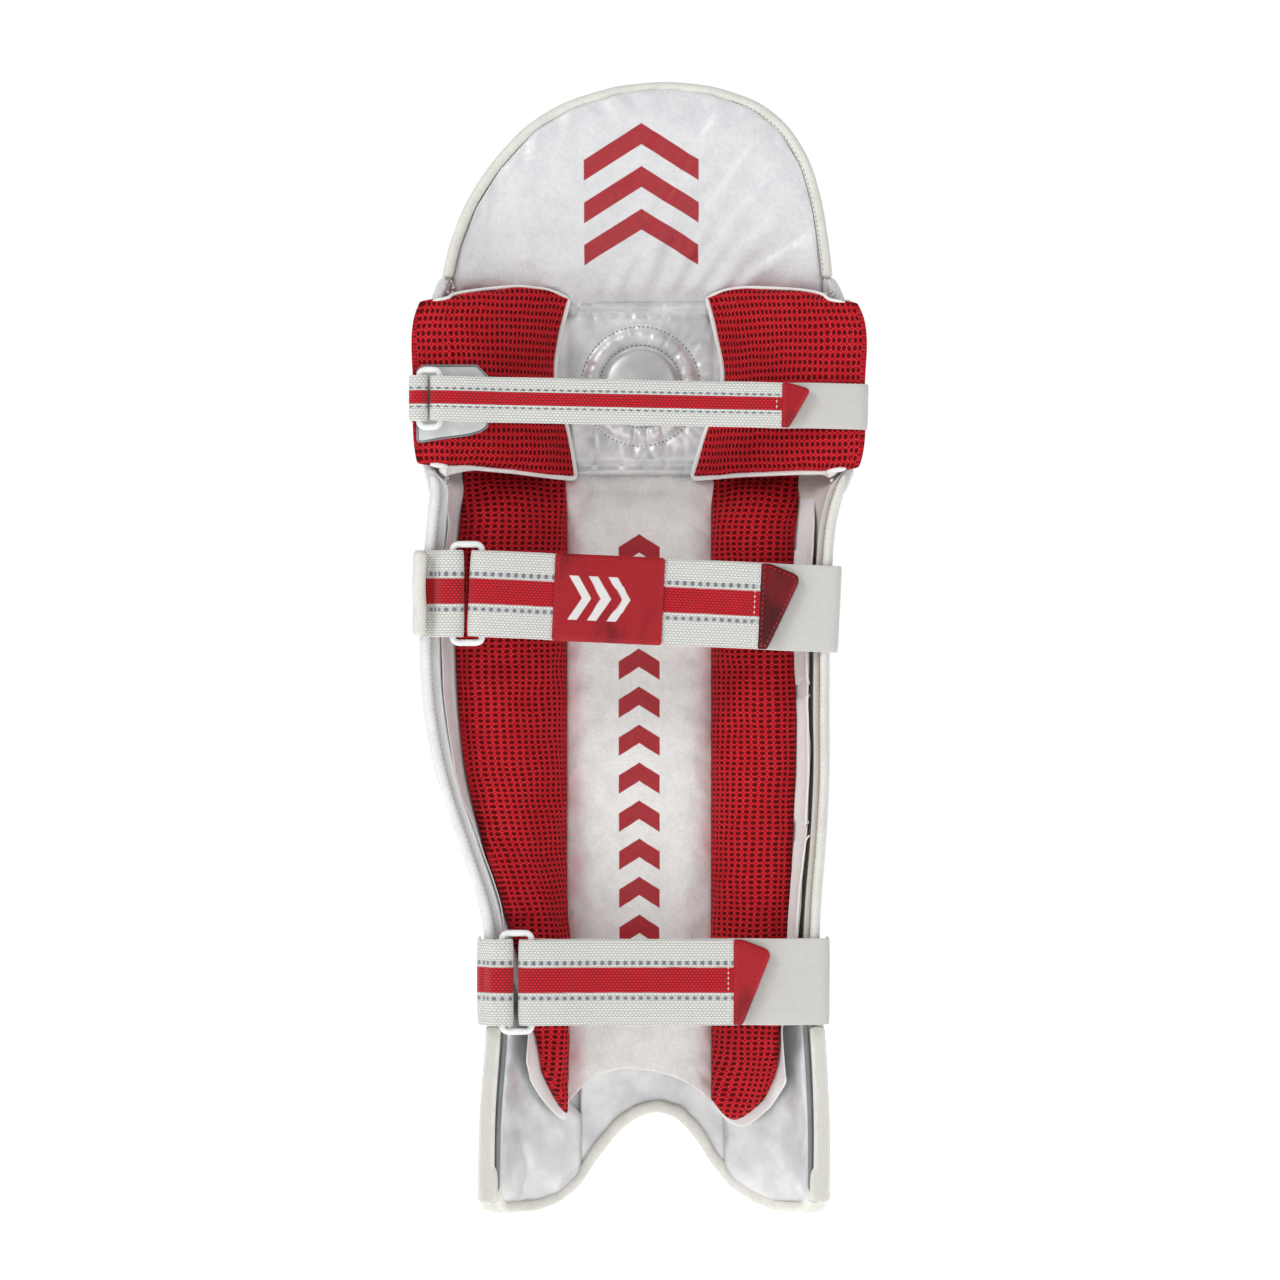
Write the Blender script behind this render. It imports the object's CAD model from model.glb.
"""Looks of the cricket leg pad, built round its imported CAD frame.

Shapes are drawn in millimetres, in the pad's own drawing frame. row_frame() turns them into metres and moves
them by SHIFT into the frame that the CAD model and everything else share.
Every padded layer is bent over one surface: place(s, z, w) is s across, z up and w off it towards the leg.
"""

import itertools
import math

import bpy
import numpy as np
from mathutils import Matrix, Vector
from mathutils.bvhtree import BVHTree


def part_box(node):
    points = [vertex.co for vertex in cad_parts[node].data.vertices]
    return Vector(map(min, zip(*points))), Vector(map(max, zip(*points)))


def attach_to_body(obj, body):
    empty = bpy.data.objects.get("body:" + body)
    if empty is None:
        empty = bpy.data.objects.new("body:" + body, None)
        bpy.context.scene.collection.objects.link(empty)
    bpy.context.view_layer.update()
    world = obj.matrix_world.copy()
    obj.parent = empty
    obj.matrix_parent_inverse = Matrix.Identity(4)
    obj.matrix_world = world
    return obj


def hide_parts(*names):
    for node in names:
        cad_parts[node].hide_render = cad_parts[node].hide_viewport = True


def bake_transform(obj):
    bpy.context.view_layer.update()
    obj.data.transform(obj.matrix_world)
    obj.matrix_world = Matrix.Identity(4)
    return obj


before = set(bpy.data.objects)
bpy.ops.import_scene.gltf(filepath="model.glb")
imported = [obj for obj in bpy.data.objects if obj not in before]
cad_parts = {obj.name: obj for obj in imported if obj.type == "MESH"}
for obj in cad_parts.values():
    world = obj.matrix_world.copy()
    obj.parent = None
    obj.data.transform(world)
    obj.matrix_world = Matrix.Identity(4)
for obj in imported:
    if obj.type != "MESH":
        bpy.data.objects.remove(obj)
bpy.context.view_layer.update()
MM = 0.001
SIDES = ((-1, "left"), (1, "right"))
WEB, HOOK_THICK, SKIN = 2.3, 1.8, 0.4  # thickness of webbing and hook tape, and the gap between layers
ANKLE_Y = -54  # the plane of the ankle strap's webbing

# The drawing frame's place is read off two CAD nodes whose drawn positions are known.
dome_low, dome_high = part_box("knee_dome")
tip_low, tip_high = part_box("ankle_strap_tip")
CUP_X, CUP_Z = 1.0, 512.0  # middle of the knee cup
STRAP_LAY_Y = ANKLE_Y - WEB - 2 * SKIN - HOOK_THICK
SHIFT = np.array(
    [
        (dome_low.x + dome_high.x) / 2 / MM - CUP_X,
        (tip_low.y + tip_high.y) / 2 / MM - STRAP_LAY_Y,
        0.0,
    ]
)

# ---- camera, floor and light ----

VIEW_X, VIEW_HEIGHT = 0.0006, 0.3547
VIEW_WIDTH = 0.791  # what the frame spans at the middle of the pad
DISTANCE = 4.0
PAD_MIDDLE_Y = 0.004
SENSOR = 36.0
WHITE_LIGHT = (1, 1, 1, 1)
eye = bpy.data.objects.new("camera", bpy.data.cameras.new("camera"))
bpy.context.scene.collection.objects.link(eye)
eye.location = (VIEW_X, -DISTANCE, VIEW_HEIGHT)
eye.rotation_euler = (math.pi / 2, 0, 0)
eye.data.sensor_width = SENSOR
eye.data.lens = SENSOR * (DISTANCE + PAD_MIDDLE_Y) / VIEW_WIDTH
eye.data.clip_end = 200
bpy.context.scene.camera = eye
bpy.context.scene.view_settings.view_transform = "Standard"


def lamp(name, place_at, aim, width, height, power):
    """A soft rectangular light that faces its aim."""
    data = bpy.data.lights.new(name, "AREA")
    data.shape = "RECTANGLE"
    data.size, data.size_y, data.energy = width, height, power
    light = bpy.data.objects.new(name, data)
    bpy.context.scene.collection.objects.link(light)
    light.location = place_at
    away = Vector(aim) - Vector(place_at)
    light.rotation_euler = away.to_track_quat("-Z", "Y").to_euler()


lamp("key_softbox", (-3.2, -2.8, 3.0), (0, 0, 0.35), 1.5, 1.5, 86)
lamp("right_softbox", (1.8, -1.6, 0.9), (0, 0, 0.35), 0.8, 1.2, 6)
lamp("overhead_softbox", (0, -0.3, 2.6), (0, 0, 0), 2.0, 2.0, 6)
lamp("back_softbox", (0.6, 2.2, 1.5), (0, 0, 0.4), 1.6, 1.6, 16)

world = bpy.data.worlds.new("studio")
bpy.context.scene.world = world
world.use_nodes = True
sky = world.node_tree.nodes["Background"]
sky.inputs["Color"].default_value = WHITE_LIGHT
AMBIENT = 0.36  # the surroundings light the pad this much, and the camera sees them as white
seen = world.node_tree.nodes.new("ShaderNodeLightPath")
strength = world.node_tree.nodes.new("ShaderNodeMapRange")
strength.inputs["To Min"].default_value = AMBIENT
strength.inputs["To Max"].default_value = 1.0
world.node_tree.links.new(seen.outputs["Is Camera Ray"], strength.inputs["Value"])
world.node_tree.links.new(strength.outputs["Result"], sky.inputs["Strength"])

# ---- numbers that vary over space ----

LATTICE = 32
lattice = np.random.default_rng(11).random((LATTICE, LATTICE, LATTICE))


def noise(points):
    """Smooth noise from -1 to 1 at points of shape (..., 3), one wave a unit."""
    points = np.asarray(points, float)
    cell = np.floor(points).astype(int)
    part = points - cell
    part = part * part * (3 - 2 * part)
    total = 0.0
    for corner in itertools.product((0, 1), repeat=3):
        weight = 1.0
        for axis, side in enumerate(corner):
            weight = weight * (part[..., axis] if side else 1 - part[..., axis])
        i, j, k = (np.mod(cell[..., axis] + corner[axis], LATTICE) for axis in range(3))
        total = total + weight * lattice[i, j, k]
    return total * 2 - 1


def noise2(x, z, size, seed=0.0):
    """Smooth noise over x and z in millimetres, with waves about size wide."""
    x, z = np.broadcast_arrays(np.asarray(x, float), np.asarray(z, float))
    return noise(np.stack([x / size + 7.3, z / size + 3.1, np.full(x.shape, seed + 0.37)], -1))


def step_up(value, low, high):
    """0 below low, 1 above high, and smooth between."""
    t = np.clip((value - low) / (high - low), 0, 1)
    return t * t * (3 - 2 * t)


def bell(value, width):
    """1 at 0, falling away on both sides."""
    return np.exp(-((value / width) ** 2))


# ---- the surface that everything is bent over (millimetres) ----

PLAN = [  # height, half-width on the left and the right, y of the middle, depth
    [0, 92, 110, 30, 66], [60, 91, 110, 24, 62], [117, 87, 107, 18, 58], [150, 86.5, 104, 16, 58],
    [190, 91, 105, 15, 58], [230, 104, 108, 14, 60], [270, 117, 110, 13, 62], [320, 126, 110, 13, 62],
    [380, 127, 111, 14, 62], [430, 123, 115, 16, 62], [450, 122, 121, 18, 62], [465, 128, 128, 20, 63],
    [510, 130, 130, 21, 63], [550, 130, 130, 19, 58], [576, 121, 119, 16, 50], [620, 121, 119, 8, 40],
    [700, 121, 119, -8, 30],
]
DOME = np.array([  # the top flap's outline, x and z
    [-121, 577], [-117, 598], [-107, 625], [-91, 650], [-70, 673], [-47, 687], [-15, 697], [16, 700],
    [46, 697], [75, 687], [93, 672], [106, 650], [113, 625], [117, 598], [119, 577],
], float)
FOOT = np.array([  # the foot's lower outline, x and z
    [-99, 26], [-96, 8], [-90, 0], [-66, 0], [-52, 4], [-38, 14], [-25, 33], [-12, 49], [0, 58],
    [12, 61], [24, 57], [35, 45], [46, 28], [58, 14], [74, 5], [88, 0], [108, 0], [115, 8], [118, 26],
], float)
BEND = 2.4  # the section's roundness: 2 is an ellipse
EDGE_RUN = 60  # how far the surface runs straight on past s = 1, for each 1 of s
SIDE_END = 1.06
GAP = 1.1
SHIN_TOP, KNEE_LOW, KNEE_TOP, FLAP_LOW, FOOT_SEAM = 446, 456, 564, 574, 128
FOOT_ROW = 30  # the height at which the foot's columns are spread over the surface
SHELL_THICK = 6
BINDING_HEIGHT = 8


def smooth(rows):
    """A smooth curve through a table's rows, read by their first number.

    It is a Catmull-Rom spline for uneven steps, and the CAD source has the same curve.
    """
    rows = np.array(rows, float)
    keys, values = rows[:, 0], rows[:, 1:]
    last = len(keys) - 1

    def read(key):
        key = np.clip(np.asarray(key, float), keys[0], keys[-1])
        high = np.clip(np.searchsorted(keys, key, side="right"), 1, last)
        low = high - 1
        t0, t1 = keys[low], keys[high]
        first, end = low == 0, high == last
        before, after = np.where(first, high, low - 1), np.where(end, low, np.minimum(high + 1, last))
        half = (t1 - t0) / 2
        wp, wn = half / (t0 - keys[before]), half / (keys[after] - t1)
        p = (key - t0) / (t1 - t0)
        pp, ppp = p * p, p * p * p
        weights = (
            (before, -wp * ppp + 2 * wp * pp - wp * p),
            (low, (1 + wp) * ppp + (-1.5 - 2 * wp) * pp + (-0.5 + wp) * p + 1),
            (high, (-1 - wn) * ppp + (1.5 + wn) * pp + 0.5 * p),
            (after, wn * ppp - wn * pp),
        )
        return sum(values[index] * weight[..., None] for index, weight in weights)

    return read


plan = smooth(PLAN)


def dome(x):
    return np.interp(x, DOME[:, 0], DOME[:, 1])


def foot(x):
    return np.interp(x, FOOT[:, 0], FOOT[:, 1])


def place(s, z, w):
    """The point that is s across, z up and w off the surface, in the drawing frame."""
    s, z, w = np.broadcast_arrays(*(np.asarray(a, float) for a in (s, z, w)))
    left, right, middle, depth = np.moveaxis(plan(z), -1, 0)
    half = np.where(s < 0, left, right)
    turn = np.minimum(np.abs(s), 1) * math.pi / 2
    over = np.sin(turn) ** (2 / BEND)
    along = np.maximum(np.cos(turn), 0) ** (2 / BEND)
    run = np.maximum(np.abs(s) - 1, 0) * EDGE_RUN
    out_x = np.sign(s) * over ** (BEND - 1) / half
    out_y = along ** (BEND - 1) / depth
    size = np.maximum(np.hypot(out_x, out_y), 1e-9)
    return np.stack(
        [
            np.sign(s) * half * over - out_x / size * w,
            middle - depth + depth * along - run - out_y / size * w,
            z,
        ],
        -1,
    )


def across(x, z):
    """The s that lies at x on the surface at height z."""
    left, right = plan(z)[..., 0], plan(z)[..., 1]
    share = np.minimum(np.abs(x) / np.where(np.asarray(x) < 0, left, right), 1)
    return np.sign(x) * np.arcsin(share ** (BEND / 2)) / (math.pi / 2)


def across_at(x, z, w):
    """Where on the surface a point lies that is seen at x once it stands w off it."""
    s = across(x, z)
    for _ in range(4):
        miss = x - place(s, z, w)[..., 0]
        s = across(place(s, z, 0)[..., 0] + miss, z)
    return s


def crinkle(phase, sharp=3):
    """Narrow creases between soft lobes."""
    return -(1 - np.abs(np.sin(phase))) ** sharp


def arch(a, power=2.6):
    """A crown: 0 at a = 0 and 1, and 1 half way. A higher power is flatter on top."""
    return np.maximum(1 - np.minimum(np.abs(2 * a - 1), 1) ** power, 0) ** (1 / power)


def eased(u):
    """Shares from 0 to 1 that lie closer together near both ends."""
    return 0.5 * u + 0.25 * (1 - np.cos(math.pi * u))


def row_frame(points):
    """Drawing millimetres to metres in the shared frame."""
    return (np.asarray(points) + SHIFT) * MM


# ---- lines and meshes ----


def unit(vectors):
    return vectors / np.maximum(np.linalg.norm(vectors, axis=-1, keepdims=True), 1e-12)


def run_length(line):
    """How far along a line each of its points lies."""
    return np.concatenate([[0], np.cumsum(np.linalg.norm(np.diff(line, axis=0), axis=1))])


def soften(piece, levels=1):
    modifier = piece.modifiers.new("soften", "SUBSURF")
    modifier.levels = modifier.render_levels = levels


def mesh_piece(name, points, faces, material, flat=None, subdivide=0):
    """A mesh object from points in metres. flat holds the cloth's own coordinates for its weave or grain."""
    mesh = bpy.data.meshes.new(name)
    mesh.from_pydata(np.asarray(points).tolist(), [], faces.tolist() if isinstance(faces, np.ndarray) else faces)
    mesh.validate()
    mesh.shade_smooth()
    if flat is not None:
        held = mesh.attributes.new("flat", "FLOAT_VECTOR", "POINT")
        held.data.foreach_set("vector", np.asarray(flat, np.float32).ravel())
    mesh.materials.append(material)
    piece = bpy.data.objects.new(name, mesh)
    bpy.context.scene.collection.objects.link(piece)
    if subdivide:
        soften(piece, subdivide)
    return piece


def grid_faces(across_count, up_count, start=0, flip=False):
    i, j = np.meshgrid(np.arange(across_count), np.arange(up_count), indexing="ij")
    a = (start + i * (up_count + 1) + j).ravel()
    quad = np.stack([a, a + up_count + 1, a + up_count + 2, a + 1], -1)
    return quad[:, ::-1] if flip else quad


def closed_grids(shape):
    """Faces of a closed body between two grids of points, each of this shape, and the rim of the first grid."""
    columns, rows = shape[0] - 1, shape[1] - 1
    count = (columns + 1) * (rows + 1)
    index = np.arange(count).reshape(columns + 1, rows + 1)
    rim = np.concatenate([index[:, 0], index[-1, 1:], index[-2::-1, -1], index[0, -2:0:-1]])
    after = np.roll(rim, -1)
    side = np.stack([rim, rim + count, after + count, after], -1)
    return np.concatenate([grid_faces(columns, rows), grid_faces(columns, rows, count, True), side]), rim


def arc_lengths(grid):
    """Lengths along the grid's columns and rows, in metres, each from its first line."""
    over = np.zeros(grid.shape[:2])
    over[1:] = np.cumsum(np.linalg.norm(np.diff(grid, axis=0), axis=-1), 0)
    up = np.zeros(grid.shape[:2])
    up[:, 1:] = np.cumsum(np.linalg.norm(np.diff(grid, axis=1), axis=-1), 1)
    return over, up


def both_faces(front, back):
    """The points of two grids in millimetres, one after the other, in metres."""
    return row_frame(np.concatenate([front.reshape(-1, 3), back.reshape(-1, 3)]))


held_points = {}  # for each panel, which of its points the sewing holds
fronts = {}  # each panel's own front grid, in millimetres


def panel(name, material, s, low, high, inner, outer, step=4.5, ease=True, subdivide=1, lay="cloth", bend=None):
    """A closed bent panel, from low(u) to high(u).

    s(u, z) says where column u lies. inner(u, v, x, z) is how far its face towards the leg stands off the
    surface, and outer its other face. step is the distance between points, and bend reshapes the first face.
    """
    ends = np.linspace(0, 1, 9)
    wide = max(
        np.linalg.norm(np.diff(place(s(ends, edge(0.5)), edge(0.5), 0), axis=0), axis=-1).sum() for edge in (low, high)
    )
    tall = float(np.max(high(ends) - low(ends)))
    columns, rows = max(int(wide / step), 4), max(int(tall / step), 3)
    u, v = np.linspace(0, 1, columns + 1), np.linspace(0, 1, rows + 1)
    if ease:
        u, v = eased(u), eased(v)
    u, v = np.meshgrid(u, v, indexing="ij")
    z = low(u) + (high(u) - low(u)) * v
    where = s(u, z)
    x = place(where, z, 0)[..., 0]
    front, back = place(where, z, inner(u, v, x, z)), place(where, z, outer(u, v, x, z))
    if bend:
        front = bend(front, u, v)
    fronts[name] = front
    faces, rim = closed_grids(front.shape)
    count = front.shape[0] * front.shape[1]
    if lay == "cloth":
        over, _ = arc_lengths(row_frame(front) * [1, 1, 0])
        flat = np.stack([over - over[columns // 2], z * MM, np.zeros_like(over)], -1).reshape(-1, 3)
    else:  # straight up and across, for printed pieces
        flat = np.stack([x * MM, z * MM, np.zeros_like(x)], -1).reshape(-1, 3)
    flat = np.concatenate([flat, flat + [0, 0, 1]])
    piece = mesh_piece(name, both_faces(front, back), faces, material, flat, subdivide)
    held = np.zeros(2 * count, bool)
    held[count:] = True
    held[rim] = True
    held_points[name] = held
    return piece


def inflate(jobs, frames=20):
    """Swells padded pieces with a short cloth simulation.

    Each job is (piece, pressure, furthest move in mm, growth of the cloth). The rim and the back stay sewn down.
    """
    for piece, pressure, _, growth in jobs:
        shown = piece.modifiers.get("soften")
        if shown:
            piece.modifiers.remove(shown)
        group = piece.vertex_groups.new(name="sewn")
        group.add(np.flatnonzero(held_points[piece.name]).tolist(), 1.0, "REPLACE")
        cloth = piece.modifiers.new("swell", "CLOTH")
        fabric = cloth.settings
        fabric.quality = 6
        fabric.mass = 0.25
        fabric.use_pressure = True
        fabric.uniform_pressure_force = pressure
        fabric.vertex_group_mass = "sewn"
        fabric.shrink_min = -growth
        fabric.effector_weights.gravity = 0
        fabric.tension_stiffness = fabric.compression_stiffness = 12
        fabric.bending_stiffness = 0.3
        cloth.point_cache.frame_start, cloth.point_cache.frame_end = 1, frames
    scene = bpy.context.scene
    for number in range(1, frames + 1):
        scene.frame_set(number)
    graph = bpy.context.evaluated_depsgraph_get()
    swollen = []
    for piece, _, most, _ in jobs:
        rest = np.array([v.co for v in piece.data.vertices])
        done = piece.evaluated_get(graph)
        moved = np.array([v.co for v in done.data.vertices]) - rest
        far = np.linalg.norm(moved, axis=1, keepdims=True)
        moved *= np.minimum(1, most * MM / np.maximum(far, 1e-12))
        swollen.append((piece, rest + moved))
    for piece, points in swollen:
        piece.modifiers.remove(piece.modifiers["swell"])
        piece.vertex_groups.clear()
        piece.data.vertices.foreach_set("co", points.ravel())
        piece.data.update()
        soften(piece)
    scene.frame_set(1)


def surface_of(piece):
    return BVHTree.FromObject(piece, bpy.context.evaluated_depsgraph_get())


def lay_on(tree, guesses, lift=0.0):
    """The nearest points of a surface to guesses in mm, lifted off it, and the normals there. All in metres."""
    points, normals = [], []
    for guess in row_frame(guesses):
        at, normal, _, _ = tree.find_nearest(Vector(guess))
        points.append(at + normal * lift * MM)
        normals.append(normal)
    return np.array(points), np.array(normals)


def seen_from_leg(tree, x, z, lift=0.0, from_y=-150.0):
    """Where rays towards +Y at x, z (mm) meet a surface."""
    points, normals = [], []
    for px, pz in zip(np.atleast_1d(x), np.atleast_1d(z)):
        start = Vector(row_frame([px, from_y, pz]))
        at, normal, _, _ = tree.ray_cast(start, Vector((0, 1, 0)))
        if at is None:
            at, normal, _, _ = tree.find_nearest(start)
        points.append(at + normal * lift * MM)
        normals.append(normal)
    return np.array(points), np.array(normals)


def respaced(points, step, closed=False):
    """The same line, with its points an even step apart."""
    points = np.asarray(points, float)
    if closed:
        points = np.vstack([points, points[:1]])
    length = run_length(points)
    count = max(int(round(length[-1] / step)), 2)
    at = np.linspace(0, length[-1], count + 1)
    return np.stack([np.interp(at, length, points[:, k]) for k in range(points.shape[1])], -1)


def smoothed(points, rounds=1):
    points = np.array(points, float)
    for _ in range(rounds):
        points[1:-1] = (points[:-2] + 2 * points[1:-1] + points[2:]) / 4
    return points


def directions(line, closed=False):
    if closed:
        ahead, behind = np.roll(line, -1, 0), np.roll(line, 1, 0)
    else:
        ahead, behind = np.vstack([line[1:], line[-1:]]), np.vstack([line[:1], line[:-1]])
    return unit(ahead - behind)


def tube(name, line, radius, material, up=(0, -1, 0), sides=10, flatten=1.0, closed=False, subdivide=0, taper=0):
    """Piping or a rolled edge: line and radius in metres. It narrows over its last taper points."""
    line = np.asarray(line, float)
    way = directions(line, closed)
    side = unit(np.cross(way, np.broadcast_to(np.asarray(up, float), line.shape)))
    top = np.cross(side, way)
    angle = np.linspace(0, 2 * math.pi, sides, endpoint=False)
    radius = np.broadcast_to(np.asarray(radius, float), len(line)).copy()
    if taper:
        ramp = np.minimum(np.arange(len(line)), np.arange(len(line))[::-1]) / taper
        radius *= np.sqrt(np.clip(0.15 + ramp, 0, 1))
    ring = (
        line[:, None]
        + side[:, None] * np.cos(angle)[None, :, None] * radius[:, None, None]
        + top[:, None] * np.sin(angle)[None, :, None] * radius[:, None, None] * flatten
    )
    rings = len(line)
    i, j = np.meshgrid(np.arange(rings if closed else rings - 1), np.arange(sides), indexing="ij")
    a, b = i * sides + j, i * sides + (j + 1) % sides
    c, d = ((i + 1) % rings) * sides + (j + 1) % sides, ((i + 1) % rings) * sides + j
    faces = [tuple(q) for q in np.stack([a, b, c, d], -1).reshape(-1, 4)[:, ::-1].tolist()]
    around_line = np.tile(angle, rings) * np.repeat(radius, sides)
    flat = np.stack([np.repeat(run_length(line), sides), around_line, np.zeros(rings * sides)], -1)
    if not closed:
        faces.append(tuple(range(sides)))
        faces.append(tuple(range(rings * sides - 1, (rings - 1) * sides - 1, -1)))
    return mesh_piece(name, ring.reshape(-1, 3), faces, material, flat, subdivide)


def thread(name, lines, material, length=2.3, gap=0.9, radius=0.34, sink=0.12):
    """Sewing stitches along lines, each given as (points, normals) in metres. The stitch's sizes are in mm."""
    rings, sides = 5, 6
    t = np.linspace(-1, 1, rings)
    fat = np.sqrt(np.clip(1.04 - t**2, 0.02, 1))
    angle = np.linspace(0, 2 * math.pi, sides, endpoint=False)
    template = np.stack(
        [
            np.repeat(t, sides),
            np.outer(fat, np.cos(angle)).ravel(),
            np.outer(fat, np.sin(angle)).ravel() + np.repeat(-0.5 * t**2, sides),
        ],
        -1,
    )
    i, j = np.meshgrid(np.arange(rings - 1), np.arange(sides), indexing="ij")
    a, b = i * sides + j, i * sides + (j + 1) % sides
    quads = np.stack([a, a + sides, b + sides, b], -1).reshape(-1, 4)
    caps = [list(range(sides)), list(range(rings * sides - 1, (rings - 1) * sides - 1, -1))]
    points, faces, flat, base = [], [], [], 0
    for line, normals in lines:
        far = run_length(line)
        pitch, reach = (length + gap) * MM, length * MM / 2

        def read(table, at, far=far):
            return np.array([np.interp(at, far, table[:, axis]) for axis in range(3)])

        for k in range(int(far[-1] / pitch)):
            middle = (k + 0.5) * pitch
            at = read(line, middle)
            way = unit(read(line, middle + reach) - read(line, middle - reach))
            side = unit(np.cross(read(normals, middle), way))
            up = np.cross(way, side)
            lean = 0.16 * math.sin(2.1 * k)
            stitch = (
                at
                + np.outer(template[:, 0] * reach, way + side * lean * 0.5)
                + np.outer(template[:, 1] * radius * MM, side)
                + np.outer((template[:, 2] * radius - sink) * MM, up)
            )
            points.append(stitch)
            faces.extend((quads + base).tolist())
            faces.extend([[c + base for c in cap] for cap in caps])
            flat.append(np.tile([k * 0.01, 0, 0], (rings * sides, 1)))
            base += rings * sides
    return mesh_piece(name, np.vstack(points), faces, material, np.vstack(flat))


# ---- materials ----


def rgb(code):
    """Linear colour of an sRGB hex code."""
    parts = [int(code[i : i + 2], 16) / 255 for i in (0, 2, 4)]
    return tuple(p / 12.92 if p <= 0.04045 else ((p + 0.055) / 1.055) ** 2.4 for p in parts) + (1.0,)


class Look:
    """A procedural material, built from small steps."""

    def __init__(self, name, **plain):
        self.material = bpy.data.materials.new(name)
        self.material.use_nodes = True
        self.tree = self.material.node_tree
        self.shader = self.tree.nodes["Principled BSDF"]
        for socket, value in plain.items():
            self.shader.inputs[socket.replace("_", " ")].default_value = value

    def link(self, value, socket):
        if isinstance(value, bpy.types.NodeSocket):
            self.tree.links.new(value, socket)
        elif value is not None:
            socket.default_value = value

    def node(self, kind, inputs=(), **settings):
        made = self.tree.nodes.new("ShaderNode" + kind)
        for key, value in settings.items():
            setattr(made, key, value)
        for key, value in dict(inputs).items():
            self.link(value, made.inputs[key])
        return made

    def math(self, how, *values, clamp=False):
        made = self.node("Math", enumerate(values), operation=how, use_clamp=clamp)
        return made.outputs[0]

    def flat(self):
        """The cloth's own coordinates: across, along and which face."""
        held = self.node("Attribute", attribute_name="flat")
        split = self.node("SeparateXYZ", {0: held.outputs["Vector"]})
        return held.outputs["Vector"], split.outputs[0], split.outputs[1], split.outputs[2]

    def object_point(self):
        return self.node("TexCoord").outputs["Object"]

    def noise(self, vector, scale, detail=2.0, rough=0.5):
        made = self.node("TexNoise", {"Vector": vector, "Scale": scale, "Detail": detail, "Roughness": rough})
        return made.outputs["Fac"]

    def range(self, value, low, high, out_low=0.0, out_high=1.0, soft=True):
        made = self.node(
            "MapRange",
            {"Value": value, "From Min": low, "From Max": high, "To Min": out_low, "To Max": out_high},
            interpolation_type="SMOOTHSTEP" if soft else "LINEAR",
        )
        return made.outputs[0]

    def mix(self, share, first, second):
        made = self.node("Mix", data_type="RGBA")
        self.link(share, made.inputs[0])
        self.link(first, made.inputs[6])
        self.link(second, made.inputs[7])
        return made.outputs[2]

    def bump(self, height, distance, strength=1.0, under=None):
        made = self.node("Bump", {"Height": height, "Distance": distance, "Strength": strength})
        if under is not None:
            self.link(under, made.inputs["Normal"])
        return made.outputs[0]

    def between(self, value, low, high, soft):
        """1 where value lies between low and high."""
        return self.math(
            "MULTIPLY",
            self.range(value, low - soft, low + soft),
            self.range(value, high - soft, high + soft, 1.0, 0.0),
        )

    def chevrons(self, x, y, middle, low, high, half, pitch, slope=0.62, duty=0.5):
        """A plain column of chevrons."""
        off = self.math("ABSOLUTE", self.math("SUBTRACT", x, middle))
        rise = self.math("ADD", y, self.math("MULTIPLY", off, slope))
        part = self.math("FRACT", self.math("DIVIDE", self.math("SUBTRACT", rise, low), pitch))
        soft = 0.0003 / pitch
        inside = self.between(rise, low, high, 0.0002)
        return self.math(
            "MULTIPLY",
            self.math("MULTIPLY", self.between(part, soft, duty, soft), inside),
            self.range(off, half - 0.0003, half + 0.0003, 1.0, 0.0),
        )

    def finish(self, colour, normal=None, rough=None):
        self.link(colour, self.shader.inputs["Base Color"])
        if rough is not None:
            self.link(rough, self.shader.inputs["Roughness"])
        if normal is not None:
            self.link(normal, self.shader.inputs["Normal"])
        return self.material


def red_mesh(name, across_pitch, up_pitch):
    """Spacer mesh: rows of oval holes with a pinhole between each four, over a dark backing."""
    look = Look(name, Specular_IOR_Level=0.12)
    vector, u, v, _ = look.flat()
    drift = look.noise(vector, 45.0, 1.0)
    sway = look.math("MULTIPLY", look.math("SUBTRACT", drift, 0.5), 0.0030)
    u, v = look.math("ADD", u, sway), look.math("ADD", v, look.math("MULTIPLY", sway, 0.6))
    a, b = look.math("DIVIDE", u, across_pitch), look.math("DIVIDE", v, up_pitch)

    def ovals(shift, wide, tall):
        fx = look.math("SUBTRACT", look.math("FRACT", look.math("ADD", a, shift)), 0.5)
        fy = look.math("SUBTRACT", look.math("FRACT", look.math("ADD", b, shift)), 0.5)
        fx, fy = look.math("DIVIDE", fx, wide), look.math("DIVIDE", fy, tall)
        square = look.math("ADD", look.math("MULTIPLY", fx, fx), look.math("MULTIPLY", fy, fy))
        return look.math("SQRT", square)

    wobble = look.math("MULTIPLY", look.math("SUBTRACT", look.noise(vector, 900.0, 1.0), 0.5), 0.4)
    big = look.math("ADD", ovals(0.0, 0.37, 0.37), wobble)
    small = ovals(0.5, 0.13, 0.13)
    hole = look.range(big, 0.82, 1.14, 1.0, 0.0)
    pin = look.range(small, 0.6, 1.3, 0.8, 0.0)
    open_share = look.math("MAXIMUM", hole, pin)
    strand = look.noise(vector, 1300.0, 2.0, 0.6)
    lit = look.mix(look.range(strand, 0.46, 0.70), rgb("D01622"), rgb("F24A56"))
    worn = look.mix(look.range(look.noise(vector, 32.0, 3.0), 0.35, 0.75, 0.0, 0.35), lit, rgb("B8101C"))
    deep = look.mix(look.range(big, 0.2, 0.85), rgb("4A0509"), rgb("74090F"))
    colour = look.mix(open_share, worn, deep)
    fibre = look.math("MULTIPLY", look.noise(vector, 2600.0, 1.0), 0.3)
    height = look.math("ADD", look.math("SUBTRACT", 1.0, open_share), fibre)
    return look.finish(colour, look.bump(height, 0.0011, 0.8), look.range(strand, 0.3, 0.7, 0.62, 0.85))


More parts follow.
